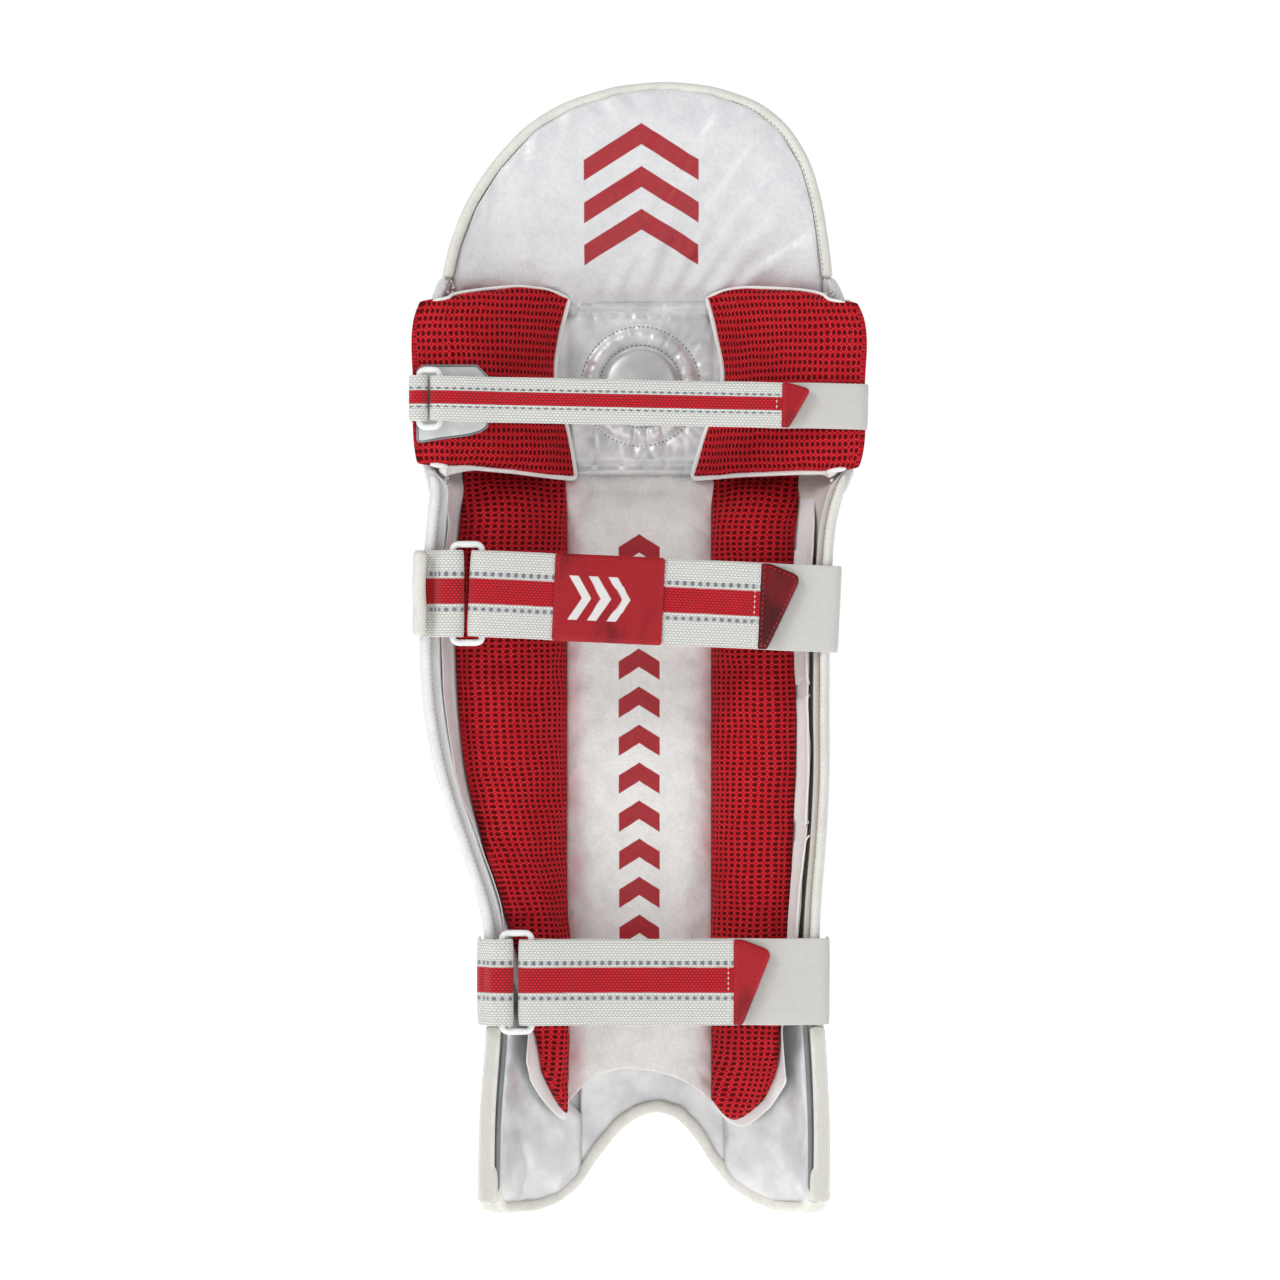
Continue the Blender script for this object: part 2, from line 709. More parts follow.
def grained(name, tone, shade, rough, grain=1700.0, depth=0.00012, blush=False, print_box=None, **plain):
    """Polyurethane cover with a fine embossed grain, faint creases and some wear.

    blush tints both long edges where the red pads rub on them. print_box prints chevrons.
    """
    look = Look(name, **plain)
    vector, u, v, _ = look.flat()
    cells = look.node("TexVoronoi", {"Vector": vector, "Scale": grain / 2.4}, feature="SMOOTH_F1")
    cells.inputs["Smoothness"].default_value = 0.35
    fine = look.noise(vector, grain, 2.0)
    crease = look.noise(vector, 70.0, 4.0, 0.6)
    base = look.mix(look.range(crease, 0.38, 0.68, 0.0, 0.8), rgb(tone), rgb(shade))
    base = look.mix(look.range(cells.outputs["Distance"], 0.25, 0.75, 0.0, 0.10), base, rgb("9A9A98"))
    if blush:
        side = look.range(look.math("ABSOLUTE", look.math("ADD", u, -0.001)), 0.034, 0.045)
        patchy = look.range(look.noise(vector, 38.0, 3.0), 0.3, 0.75)
        base = look.mix(look.math("MULTIPLY", look.math("MULTIPLY", side, patchy), 0.5), base, rgb("E58A94"))
    roughness = look.range(look.noise(vector, 240.0, 3.0), 0.3, 0.7, rough - 0.06, rough + 0.10)
    if print_box:
        ink = look.chevrons(u, v, *print_box)
        inked = look.mix(look.range(look.noise(vector, 300.0, 3.0), 0.3, 0.7), rgb("A81A26"), rgb("9C1622"))
        base = look.mix(ink, base, inked)
    height = look.math("ADD", cells.outputs["Distance"], look.math("MULTIPLY", fine, 0.5))
    soft = look.bump(crease, 0.0006, 0.35)
    return look.finish(base, look.bump(height, depth, 0.8, soft), roughness)


def silver():
    """Pearl polyurethane: satin, with fine flakes and small creases."""
    look = Look("pearl_silver_pu", Metallic=0.45)
    vector = look.flat()[0]
    flakes = look.noise(vector, 2400.0, 2.0, 0.7)
    cloud = look.noise(vector, 45.0, 3.0)
    crease = look.noise(vector, 110.0, 5.0, 0.62)
    base = look.mix(look.range(cloud, 0.35, 0.7), rgb("C8CBCD"), rgb("E2E3E3"))
    base = look.mix(look.range(flakes, 0.5, 0.75, 0.0, 0.3), base, rgb("EEF0F1"))
    normal = look.bump(flakes, 0.00006, 0.5, look.bump(crease, 0.0005, 0.45))
    return look.finish(base, normal, look.range(crease, 0.3, 0.7, 0.38, 0.52))


def webbing():
    """Woven strap: white with two dashed grey lines and a red band.

    Its flat coordinates are along, across, and the share of the width.
    """
    look = Look("striped_webbing", Sheen_Weight=0.15, Specular_IOR_Level=0.2)
    vector, u, v, share = look.flat()
    sway = look.math("MULTIPLY", look.math("SUBTRACT", look.noise(vector, 90.0, 2.0), 0.5), 0.018)
    share = look.math("ADD", share, sway)
    pick, end = 0.0023, 0.0016
    a, b = look.math("DIVIDE", u, pick), look.math("DIVIDE", v, end)
    even = look.math("FRACT", look.math("MULTIPLY", look.math("FLOOR", b), 0.5))
    shifted = look.math("ADD", a, even)
    ridge_u = look.math("ABSOLUTE", look.math("SINE", look.math("MULTIPLY", shifted, math.pi)))
    ridge_v = look.math("ABSOLUTE", look.math("SINE", look.math("MULTIPLY", b, math.pi)))
    knot = look.math("MULTIPLY", look.math("SQRT", ridge_u), look.math("SQRT", ridge_v))
    yarn = look.noise(vector, 2200.0, 2.0, 0.6)
    white = look.mix(look.range(knot, 0.2, 0.85), rgb("B6B6B1"), rgb("EEEEEB"))
    white = look.mix(look.range(look.noise(vector, 60.0, 3.0), 0.4, 0.75, 0.0, 0.35), white, rgb("DAD9D2"))
    red = look.mix(look.range(knot, 0.2, 0.85), rgb("7C0C14"), rgb("D42230"))
    dash = look.math("SINE", look.math("MULTIPLY", u, 2 * math.pi / 0.0047))
    grey = look.mix(look.range(dash, -0.5, 0.5), rgb("C6C9CA"), rgb("63686D"))
    grey = look.mix(look.range(yarn, 0.4, 0.65, 0.0, 0.35), grey, rgb("E0E0DE"))
    soft = 0.007
    colour = white
    for low, high, tone in ((0.325, 0.62, red), (0.247, 0.298, grey), (0.662, 0.705, grey)):
        colour = look.mix(look.between(share, low, high, soft), colour, tone)
    height = look.math("ADD", knot, look.math("MULTIPLY", yarn, 0.35))
    return look.finish(colour, look.bump(height, 0.0005, 0.85), look.range(yarn, 0.3, 0.7, 0.78, 0.95))


def pile(name, tone, shade):
    """Brushed loop pile."""
    look = Look(name, Sheen_Weight=0.5, Sheen_Roughness=0.6, Specular_IOR_Level=0.15)
    vector = look.flat()[0]
    fluff, tuft = look.noise(vector, 1900.0, 3.0, 0.7), look.noise(vector, 420.0, 3.0)
    base = look.mix(look.range(fluff, 0.35, 0.65), rgb(shade), rgb(tone))
    base = look.mix(look.range(look.noise(vector, 40.0, 3.0), 0.4, 0.8, 0.0, 0.35), base, rgb("D5D2C8"))
    height = look.math("ADD", fluff, look.math("MULTIPLY", tuft, 1.4))
    return look.finish(base, look.bump(height, 0.0005, 0.7), look.range(fluff, 0.3, 0.7, 0.88, 1.0))


def red_foil(name, dark, bright, streak=0.5, print_box=None):
    """Metallic red polyurethane with streaks of dark and bright."""
    look = Look(name, Metallic=0.35, Coat_Weight=0.15, Coat_Roughness=0.25, Specular_IOR_Level=0.3)
    vector, u, v, _ = look.flat()
    stretched = look.node("Mapping", {"Vector": vector, "Scale": (30.0, 14.0, 10.0)}).outputs[0]
    sheet, fine = look.noise(stretched, 1.0, 3.0, 0.55), look.noise(vector, 1400.0, 2.0)
    crease = look.noise(vector, 90.0, 2.0)
    base = look.mix(look.range(sheet, streak - 0.09, streak + 0.09), rgb(bright), rgb(dark))
    base = look.mix(look.range(fine, 0.5, 0.7, 0.0, 0.25), base, rgb("D8404C"))
    if print_box:
        mark = look.chevrons(v, u, *print_box)
        base = look.mix(mark, base, rgb("E4E2E0"))
    rough = look.range(crease, 0.3, 0.7, 0.34, 0.48)
    return look.finish(base, look.bump(fine, 0.00007, 0.5, look.bump(crease, 0.0005, 0.35)), rough)


def plain_thread(name, tone, shade):
    """Twisted sewing thread."""
    look = Look(name, Roughness=0.7)
    twist = look.noise(look.object_point(), 2500.0, 1.0)
    return look.finish(look.mix(look.range(twist, 0.4, 0.6), rgb(shade), rgb(tone)), look.bump(twist, 0.0001, 0.6))


def woven_tape(name, tone, shade, pitch=0.0009):
    """Narrow bias tape over an edge."""
    look = Look(name, Roughness=0.75, Sheen_Weight=0.1)
    point = look.object_point()
    split = look.node("SeparateXYZ", {0: point})
    lines = [
        look.math("SINE", look.math("MULTIPLY", look.math(how, split.outputs[0], split.outputs[2]), math.pi / pitch))
        for how in ("ADD", "SUBTRACT")
    ]
    weave = look.math("ABSOLUTE", look.math("MULTIPLY", *lines))
    worn = look.noise(point, 55.0, 4.0)
    base = look.mix(look.range(weave, 0.1, 0.8), rgb(shade), rgb(tone))
    base = look.mix(look.range(worn, 0.5, 0.8, 0.0, 0.3), base, rgb("C9C6BC"))
    return look.finish(base, look.bump(weave, 0.00012, 0.6, look.bump(worn, 0.0006, 0.3)))


def ring_plastic():
    """Milky plastic with fine scuffs."""
    look = Look(
        "frosted_plastic", Roughness=0.28, Subsurface_Weight=0.35, Subsurface_Scale=0.004,
        Subsurface_Radius=(1.0, 1.0, 1.0),
    )
    point = look.object_point()
    scuff, flow = look.noise(point, 700.0, 4.0, 0.7), look.noise(point, 60.0, 2.0)
    base = look.mix(look.range(flow, 0.35, 0.7), rgb("E9ECEC"), rgb("F6F7F6"))
    return look.finish(base, look.bump(scuff, 0.00008, 0.4), look.range(scuff, 0.35, 0.75, 0.2, 0.42))


def cane_wood():
    """Cane with a long grain."""
    look = Look("cane", Roughness=0.6)
    point = look.object_point()
    grain = look.node("Mapping", {"Vector": point, "Scale": (900.0, 900.0, 12.0)})
    streak = look.noise(grain.outputs[0], 1.0, 4.0, 0.6)
    base = look.mix(look.range(streak, 0.3, 0.7), rgb("A87B3F"), rgb("D2A868"))
    return look.finish(base, look.bump(streak, 0.0002, 0.6), look.range(streak, 0.3, 0.7, 0.5, 0.7))


def hook_tape():
    """Rows of small moulded hooks."""
    look = Look("hook_tape", Roughness=0.6)
    _, u, v, _ = look.flat()
    pitch = 0.0013
    dots = [look.math("SINE", look.math("MULTIPLY", value, 2 * math.pi / pitch)) for value in (u, v)]
    bristle = look.range(look.math("MULTIPLY", *dots), 0.0, 0.8)
    base = look.mix(bristle, rgb("BDBDB6"), rgb("EDEDE8"))
    return look.finish(base, look.bump(bristle, 0.0005, 0.9))


MESH = red_mesh("red_spacer_mesh", 0.0047, 0.0033)
WING_MESH = red_mesh("red_spacer_mesh_upright", 0.0034, 0.0045)
WHITE = grained("white_pu", "E8E9EA", "DCDDDF", 0.42)
LINING = grained("lining_pu", "EAEAEA", "DDDEDF", 0.46, grain=1300.0)
FLAP_LINING = grained(
    "flap_lining_pu", "DFE0E2", "D5D6DA", 0.36, grain=1100.0,
    print_box=(0.0015, 0.6085, 0.6865, 0.036, 0.026),
)
CENTRE_LINING = grained(
    "centre_lining_pu", "EEEEEC", "E2E2E0", 0.46, grain=1300.0, blush=True,
    print_box=(0.0002, 0.1732, 0.4312, 0.0130, 0.0235),
)
CREAM = grained("cream_pu", "E2E1DA", "D8D7CE", 0.48, grain=1300.0)
BEIGE = grained("beige_inner_pu", "DAD6CD", "CDC8BE", 0.55, grain=1200.0)
SILVER = silver()
WEBBING = webbing()
PILE = pile("loop_pile", "EDECE8", "CECDC8")
TIP = red_foil("red_foil_tip", "7A1018", "A81824", 0.58)
DARK_TIP = red_foil("red_foil_dark_tip", "42070C", "6E0E15", 0.46)
BADGE = red_foil("red_foil_badge", "760F17", "A41A24", 0.62, print_box=(0.0, -0.0165, 0.0195, 0.0135, 0.012))
WHITE_THREAD = plain_thread("white_thread", "F2F2F0", "C6C8C9")
FRAY = plain_thread("frayed_cloth", "E6E4DE", "B9B6AE")
GREY_THREAD = plain_thread("grey_thread", "8C9093", "63676A")
RED_THREAD = plain_thread("red_thread", "D02633", "8C111B")
TRIM = woven_tape("white_trim", "F5F6F5", "E8E9E7")
VELVET = woven_tape("grey_velvet_piping", "9B9FA1", "5C6063", 0.0014)
PLASTIC = ring_plastic()
CANE = cane_wood()
HOOK = hook_tape()

# ---- pieces ----


def around(low, high):
    """From s = low to s = high on the surface."""
    return lambda u, z: low + (high - low) * u + 0 * z


def between(low, high):
    """From x = low(z) to x = high(z) on the surface."""
    return lambda u, z: across(low(z) + (high(z) - low(z)) * u, z)


def level(z):
    """A panel's straight lower or upper edge."""
    return lambda u: z + 0 * u


def flat_at(w):
    """A panel's face that lies w off the surface everywhere."""
    return lambda u, v, x, z: w + 0 * u


def attach(piece, body, *nodes, slot=None, padded=None):
    """Says what a piece rides on, which is one body or a blend of two, and what it stands for."""
    if isinstance(body, str):
        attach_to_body(piece, body)
    else:
        a, b, low, high = body
        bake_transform(piece)
    if nodes:
        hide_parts(*nodes)
    return piece


def stitch(body, name, lines, material, **sizes):
    attach(thread(name, lines, material, **sizes), body)


def at_depth(line, y):
    """Points of a line of x and z, all at one y."""
    return np.stack([line[:, 0], np.full(len(line), y), line[:, 1]], -1)


def foot_under(s):
    """Height of the foot's outline under s."""
    return foot(place(s, FOOT_ROW, 0)[..., 0])


made = []  # piece, body, CAD nodes it stands for, slot, fill
swell = []  # piece, pressure, furthest move in mm, growth

# The two bodies that a piece is blended over, and the heights between which it turns
KNEE_TURN = ("shin", "knee", 0.428, 0.470)
FLAP_TURN = ("knee", "top_flap", 0.560, 0.580)

shin_shell = panel(
    "shin_shell_cover", WHITE, around(-SIDE_END, SIDE_END),
    lambda u: foot_under(-SIDE_END + 2 * SIDE_END * u) + BINDING_HEIGHT + GAP,
    level(SHIN_TOP), flat_at(-GAP / 2), flat_at(-GAP / 2 - SHELL_THICK), step=7, ease=False,
)
made.append((shin_shell, "shin", ["shin_shell"], "white_pu", 0.5))
knee_shell = panel(
    "knee_shell_cover", WHITE, around(-SIDE_END, SIDE_END), level(KNEE_LOW), level(KNEE_TOP),
    flat_at(-GAP / 2), flat_at(-GAP / 2 - SHELL_THICK), step=7, ease=False,
)
made.append((knee_shell, "knee", ["knee_shell"], "white_pu", 0.5))

# Front of the pad: rolls

BACK = -GAP / 2 - SHELL_THICK - GAP
ROLL_COUNT, ROLL_SPAN, ROLL_THICK, ROLL_LOW = 5, 0.78, 21, 96
lane = 2 * ROLL_SPAN / ROLL_COUNT
for i in range(ROLL_COUNT):
    start = -ROLL_SPAN + i * lane + 0.002
    stop = start + lane - 0.004

    def lane_edge(share):
        return lambda z: share * plan(z)[..., 0 if share < 0 else 1]

    roll = panel(
        f"shin_roll_{i + 1}_cover", WHITE, between(lane_edge(start), lane_edge(stop)), level(ROLL_LOW),
        level(SHIN_TOP), flat_at(BACK),
        lambda u, v, x, z: BACK - 4
        - (ROLL_THICK - 5) * arch(u, 2.2) * arch(v, 26) * (1 + 0.035 * noise2(x, z, 42, 3)),
        step=5.5,
    )
    made.append((roll, "shin", [f"shin_roll_{i + 1}"], "white_pu", 0.8))
KNEE_ROLLS = 3
KNEE_PITCH = (KNEE_TOP - KNEE_LOW) / KNEE_ROLLS
for i in range(KNEE_ROLLS):
    low = KNEE_LOW + i * KNEE_PITCH + 0.2
    roll = panel(
        f"knee_roll_{i + 1}_cover", WHITE, around(-0.66, 0.66), level(low), level(low + KNEE_PITCH - 0.4),
        flat_at(BACK),
        lambda u, v, x, z: BACK - 4 - 18 * arch(v, 2.2) * arch(u, 6) * (1 + 0.05 * noise2(x, z, 30, 5)),
        step=5,
    )
    made.append((roll, "knee", [f"knee_roll_{i + 1}"], "white_pu", 0.8))

# Top flap


def dome_inset(x, d):
    """The flap's outline drawn in by about d."""
    return np.maximum(np.minimum(np.minimum(dome(x - d), dome(x)), dome(x + d)) - 0.8 * d, FLAP_LOW + 4)


def flap_side(edge):
    """x of the flap's columns between s = -edge and s = edge at its foot."""
    ends = place(np.array([-edge, edge]), FLAP_LOW, 0)[:, 0]
    return lambda u: ends[0] + (ends[1] - ends[0]) * u


def flap_panel(name, material, edge, inset, inner, outer, low, **more):
    at = flap_side(edge)
    return panel(
        name, material, lambda u, z: across(at(u) + 0 * z, z), level(low),
        lambda u: dome_inset(at(u), inset), inner, outer, **more,
    )


flap_front = flap_panel(
    "flap_front_cover", WHITE, 0.81, 4.6, flat_at(-1.2),
    lambda u, v, x, z: -5 - 8.5 * np.abs(np.sin(math.pi * 5 * u)) ** 0.8 * arch(0.5 + v / 2, 5)
    - 0.5 * noise2(x, z, 26, 8),
    FLAP_LOW - 2, step=4,
)
made.append((flap_front, FLAP_TURN, ["flap_front"], "white_pu", 0.7))

FOLDS = [  # where each crease starts and ends (x, z), its depth and width
    (-7, 562, 58, 696, 1.5, 5.0), (6, 560, 84, 676, 1.7, 4.5), (20, 560, 97, 655, 1.3, 4.0),
    (34, 560, 104, 632, 1.0, 4.0), (-20, 560, 12, 618, 0.8, 5.0), (50, 560, 108, 606, 0.8, 4.0),
    (38, 640, 88, 690, 0.9, 3.5), (-4, 640, 36, 698, 0.7, 4.5),
]


def folds(x, z):
    """Creases that fan out from the cup over the flap."""
    total = 0.0
    for x0, z0, x1, z1, depth, width in FOLDS:
        way = np.array([x1 - x0, z1 - z0], float)
        long = np.hypot(*way)
        way /= long
        along = (x - x0) * way[0] + (z - z0) * way[1]
        off = (x - x0) * way[1] - (z - z0) * way[0]
        off = off + 5 * np.sin(along / long * math.pi) + noise2(x, z, 24, 2) * 2.5
        fade = step_up(along, -6, 0.22 * long) * step_up(-along, -long - 4, -0.72 * long)
        total = total + 1.5 * depth * fade * (bell(off - width, width) - bell(off + width * 0.4, width * 0.7))
    return total


def flap_face(u, v, x, z):
    """The flap's lining: crowned, creased, puckered along its rim and tucked under the cup."""
    body = 3 + 9 * arch(u, 2.2) * arch(0.5 + v / 2, 2.2)
    tuck = step_up(z, 556, 574)
    pucker = 0.45 * np.sin(x / 3.3 + 2 * noise2(x, z, 15, 6)) * bell(dome(x) - z - 6, 9)
    dart = -2.6 * bell(np.hypot(x - 83, (z - 672) * 0.7), 3.0)
    soft = 1.2 * noise2(x + 0.6 * z, z - 0.4 * x, 46, 1) + 0.4 * noise2(x, z, 15, 4)
    return 0.6 + tuck * (body - 0.6 + folds(x, z) * arch(u, 5) + soft * arch(u, 5) + dart + pucker)


flap_lining = flap_panel(
    "flap_lining_cover", FLAP_LINING, 0.775, 5.0, flap_face, flat_at(-0.9), 557, step=3.2, lay="straight",
)
made.append((flap_lining, FLAP_TURN, ["flap_lining"], "lining_pu", 0.5))
swell.append((flap_lining, 2.0, 3.0, 0.012))

# Knee: cup, dome and wings


RING_OUT, RING_IN = 37, 24.5  # radii of the cup's two sewn rings
CUP_SEAM_HIGH, CUP_SEAM_LOW = 557.5, 463


def cup_face(u, v, x, z):
    """The cup: crowned, with sunken seams, pleats across its rings and upright creases above and below them."""
    r = np.hypot(x - CUP_X, z - CUP_Z)
    angle = np.arctan2(z - CUP_Z, x - CUP_X)
    body = 4.2 + 8 * arch(np.clip((u - 0.08) / 0.84, 0, 1), 1.6) * arch(v, 2.6)
    seams = -2.0 * bell(r - RING_OUT, 2.3) - 2.3 * bell(r - RING_IN, 2.0)
    seams = seams - 2.2 * bell(z - CUP_SEAM_HIGH, 2.0) - 2.0 * bell(z - CUP_SEAM_LOW, 1.9)
    near = bell(r - RING_OUT, 13) + 0.7 * bell(r - 27, 6)
    wave = crinkle(angle * 9 + 2.6 * noise2(x, z, 20, 9)) * (0.65 + 0.6 * noise2(x, z, 24, 3))
    wave = wave + 0.5 * crinkle(angle * 17 + 3 * noise2(x, z, 15, 5) + 1, 2)
    radial = (2.1 * wave + 0.5) * near * (0.35 + 0.65 * step_up(x, -34, 22)) * step_up(r, 24, 28)
    below = step_up(-z, -494, -482)
    upright = crinkle(x / 4.6 + 1.5 * noise2(x, z * 0.4, 12, 2), 2.4)
    upright = upright * (0.7 + 0.6 * noise2(x * 2, z * 0.3, 16, 4))
    upright = 2.3 * upright * (below + 0.6 * step_up(z, 536, 556) + 0.3 * step_up(np.abs(x - CUP_X), 38, 46))
    ring_pad = 1.5 * bell(r - 31, 4.5) + 1.2 * step_up(r, 40, 48)
    rough = 0.7 * noise2(x, z, 12, 6) + 0.3 * noise2(x, z, 5, 8)
    return np.maximum(body + seams + radial + upright + ring_pad + rough, 2.2)


CUP_HALF = 54
cup_side = between(lambda z: CUP_X - CUP_HALF + 0 * z, lambda z: CUP_X + CUP_HALF + 0 * z)
cup = panel(
    "knee_cup_cover", SILVER, cup_side, level(KNEE_LOW + 0.5), level(KNEE_TOP + 1), cup_face, flat_at(GAP / 2),
    step=1.6, ease=False, lay="straight",
)
made.append((cup, "knee", ["knee_cup"], "silver_pu", 0.6))

wing_rows = {  # height and x of the wings' inner edges
    -1: smooth([[450, -38], [484, -44], [517, -52], [543, -49], [570, -42]]),
    1: smooth([[450, 31], [483, 41], [514, 52], [547, 47], [570, 41]]),
}
WING_END, LIP, LIP_TURN = 1.125, 0.06, 0.03  # far edge, and the share of the width that folds round it
WING_TOPS = {  # share of the way to the middle, height
    -1: ([0, 0.06, 0.2, 0.5, 0.79, 0.92, 1], [562.0, 564.5, 566.0, 569.0, 573.0, 571.5, 566.5]),
    1: ([0, 0.06, 0.2, 0.5, 0.84, 0.93, 1], [561.0, 563.5, 565.8, 569.5, 572.5, 571.3, 567.0]),
}
WING_FOOTS = {
    -1: ([0, 0.06, 0.5, 0.75, 1], [462.5, 460.5, 461.0, 458.8, 454.5]),
    1: ([0, 0.06, 0.6, 0.85, 1], [460.0, 457.5, 457.6, 456.6, 454.5]),
}


def inward(u, sign):
    """The share of the way from a wing's far edge to the middle of the pad."""
    return u if sign < 0 else 1 - u


def wing_side(u, z, sign):
    """Columns from the far edge, where the cover turns over its lip, to the inner edge."""
    t = inward(u, sign)
    turn = np.minimum(t / LIP, 1) * math.pi / 2
    far = sign * (WING_END - LIP_TURN * (1 - np.cos(turn)))
    near = across_at(wing_rows[sign](z)[..., 0], z, 10.0)
    return far + (near - far) * np.maximum(t - LIP, 0) / (1 - LIP)


def wing_edge(table, u, sign):
    """Height of a wing's top or foot."""
    t = np.linspace(0, 1, 201)
    line = smoothed(np.interp(t, *table[sign])[:, None], 6)[:, 0]
    return np.interp(inward(u, sign), t, line)


def wing_face(u, v, x, z, sign):
    t = inward(u, sign)
    lip = np.sin(np.minimum(t / LIP, 1) * math.pi / 2)
    body = (0.42 + 0.58 * step_up(t, 0.02, 0.4)) * arch(0.5 + t / 2, 2.6) * arch(v, 2.5)
    lie = 8.8 + 17.5 * body
    under_strap = -2.2 * bell(z - 502, 15) * step_up(np.abs(x), 60, 72)
    soft = (1.1 * noise2(x, z, 34, 4 + sign) + 0.5 * noise2(x, z, 15, 7 + sign)) * arch(v, 5) * arch(u, 5)
    return -5.8 + (lie + under_strap + soft + 5.8) * lip


def wing_back(u, v, x, z, sign):
    return 6.0 - 14.6 * step_up(1 - inward(u, sign), 1 - 1.6 * LIP, 1)


def wing_bend(front, u, v, sign):
    """Fills the wing out, from its far lip to the middle, where the shell behind turns away."""
    t = inward(u, sign)
    lip = int(np.argmin(np.abs(t[:, 0] - LIP)))
    edge = -1 if sign < 0 else 0
    far, near = front[lip], front[edge]
    q = (np.abs(front[..., 0]) - np.abs(near[:, 0])) / (np.abs(far[:, 0]) - np.abs(near[:, 0]))
    q = np.clip(q, 0, 1)
    full = near[:, 1] + (far[:, 1] - near[:, 1]) * (1 - (1 - q) ** 1.75)
    full = full - 3.0 * arch(q, 2) * arch(v, 2) + 0.9 * noise2(front[..., 0], front[..., 2], 24, 5)
    share = (0.58 + 0.26 * arch(v, 2.5)) * (t > LIP)
    bent = front.copy()
    bent[..., 1] += np.minimum(full - front[..., 1], 0) * share
    return bent


def band_below(name, row, tall, material):
    """A strip along a panel's lower edge; tall is its height at each point of the row."""
    share = np.linspace(0, 1, 5)
    front = np.repeat(row[:, None], 5, 1)
    front[..., 2] += 1.2 - (tall[:, None] + 1.2) * share
    back = front.copy()
    front[..., 1] += 1.4 - 1.6 * arch(share, 2) + 1.5 * share
    back[..., 1] += 7.0 - 2.0 * share
    points = both_faces(front, back)
    return mesh_piece(name, points, closed_grids(front.shape)[0], material, points, 1)


wings = {}
for sign, side_name in SIDES:
    wing = panel(
        f"knee_wing_{side_name}_cover", WING_MESH, lambda u, z, s=sign: wing_side(u, z, s),
        lambda u, s=sign: wing_edge(WING_FOOTS, u, s), lambda u, s=sign: wing_edge(WING_TOPS, u, s),
        lambda u, v, x, z, s=sign: wing_face(u, v, x, z, s), lambda u, v, x, z, s=sign: wing_back(u, v, x, z, s),
        step=3.2, bend=lambda front, u, v, s=sign: wing_bend(front, u, v, s),
    )
    wings[sign] = wing
    made.append((wing, f"wing_{side_name}", [f"knee_wing_{side_name}"], "red_mesh", 0.7))
    swell.append((wing, 2.5, 3.0, 0.01))
    reach, deepest = (0.66, 6.5) if sign < 0 else (0.5, 4.0)
    row = fronts[wing.name][::-sign, 0]  # from the far edge to the middle
    row = row[2 : int(len(row) * reach)]
    t = np.linspace(0, 1, len(row))
    tall = deepest * (1 - t**2) * step_up(t, -0.04, 0.03)
    band = band_below(f"knee_wing_{side_name}_lower_band", row[::-sign], tall[::-sign], TRIM)
    made.append((band, f"wing_{side_name}", [], "lining_pu", None))

# Shin: linings, bolsters and flanges

TUCKS = (-33.4, -12.4, 19.8)  # x of the folds under the cup


def centre_face(u, v, x, z):
    """The middle column: crowned, with folds that hang from the cup, rippled edges and long soft creases."""
    body = 8 + 4 * step_up(-z, -170, -110) + 4.5 * arch(u, 2.4) * arch(np.clip((z - 66) / 380, 0, 1), 5)
    tuck = sum(-3.4 * bell(x - at, 2.2) * step_up(z, 440, 454) for at in TUCKS)
    hang = sum(-0.9 * bell(x - at - 0.12 * (448 - z) * math.sin(at), 3.6) for at in TUCKS) * step_up(z, 418, 448)
    edge = 0.7 * noise2(x * 0.8, z * 2.2, 17, 12) * step_up(np.abs(x), 18, 40)
    long = 0.9 * noise2(x * 2.6, z * 0.5, 22, 5) + 0.5 * noise2(x, z, 60, 7)
    long = long + 0.9 * crinkle(z / 9.0 + x / 14 + noise2(x, z, 30, 8), 4) * step_up(np.abs(x), 20, 38)
    full = body + tuck + hang + edge + long
    under = 1 - step_up(z, 450, 459)
    return 0.4 + (full - 0.4) * under


centre = panel(
    "centre_lining_cover", CENTRE_LINING,
    lambda u, z: across_at(-45.5 + 0 * z, z, 8.0) * (1 - u) + across_at(46.5 + 0 * z, z, 8.0) * u,
    lambda u: 67 + 21.5 * (1 - np.abs(2 * u - 1) ** 1.9), level(468), centre_face,
    lambda u, v, x, z: -0.4 + 6.9 * step_up(-z, -150, -110), step=3.4, lay="straight",
)
made.append((centre, KNEE_TURN, ["centre_lining"], "lining_pu", 0.6))
swell.append((centre, 1.6, 2.6, 0.01))

for sign, side_name in SIDES:
    material, slot_name = (LINING, "lining_pu") if sign < 0 else (BEIGE, "cream_pu")

    def lining_side(u, z, sign=sign):
        near, far = across(sign * 45.0, z), sign * 1.055
        return far + (near - far) * u if sign < 0 else near + (far - near) * u

    def lining_face(u, v, x, z, sign=sign):
        s = across(x, z)
        channel = 3.6 * arch(np.clip((np.abs(s) - 0.70) / 0.32, 0, 1), 2.2) if sign < 0 else 0
        return 3.4 + channel * step_up(z, 130, 170) + 0.35 * noise2(x, z, 26, sign + 3)

    lining = panel(
        f"side_lining_{side_name}_cover", material, lining_side, level(FOOT_SEAM - 2), level(464),
        lambda u, v, x, z, f=lining_face: 0.3 + (f(u, v, x, z) - 0.3) * (1 - step_up(z, 448, 458)),
        flat_at(-0.2), step=5,
    )
    made.append((lining, KNEE_TURN, [f"side_lining_{side_name}"], slot_name, 0.3))

BOLSTERS = {  # x of the inner edge, height of the tip, and height and x of the outer edge
    -1: (
        -44.5, 62,
        [[60, -56], [98, -61], [115, -64], [177, -78], [197, -84], [233, -95], [271, -105], [309, -110],
         [350, -112], [404, -111], [441, -108]],
    ),
    1: (
        44.5, 58,
        [[58, 70], [89, 84], [117, 86], [177, 91], [233, 94], [305, 96], [341, 95], [413, 95], [441, 98]],
    ),
}
BOLSTER_TOP = 461


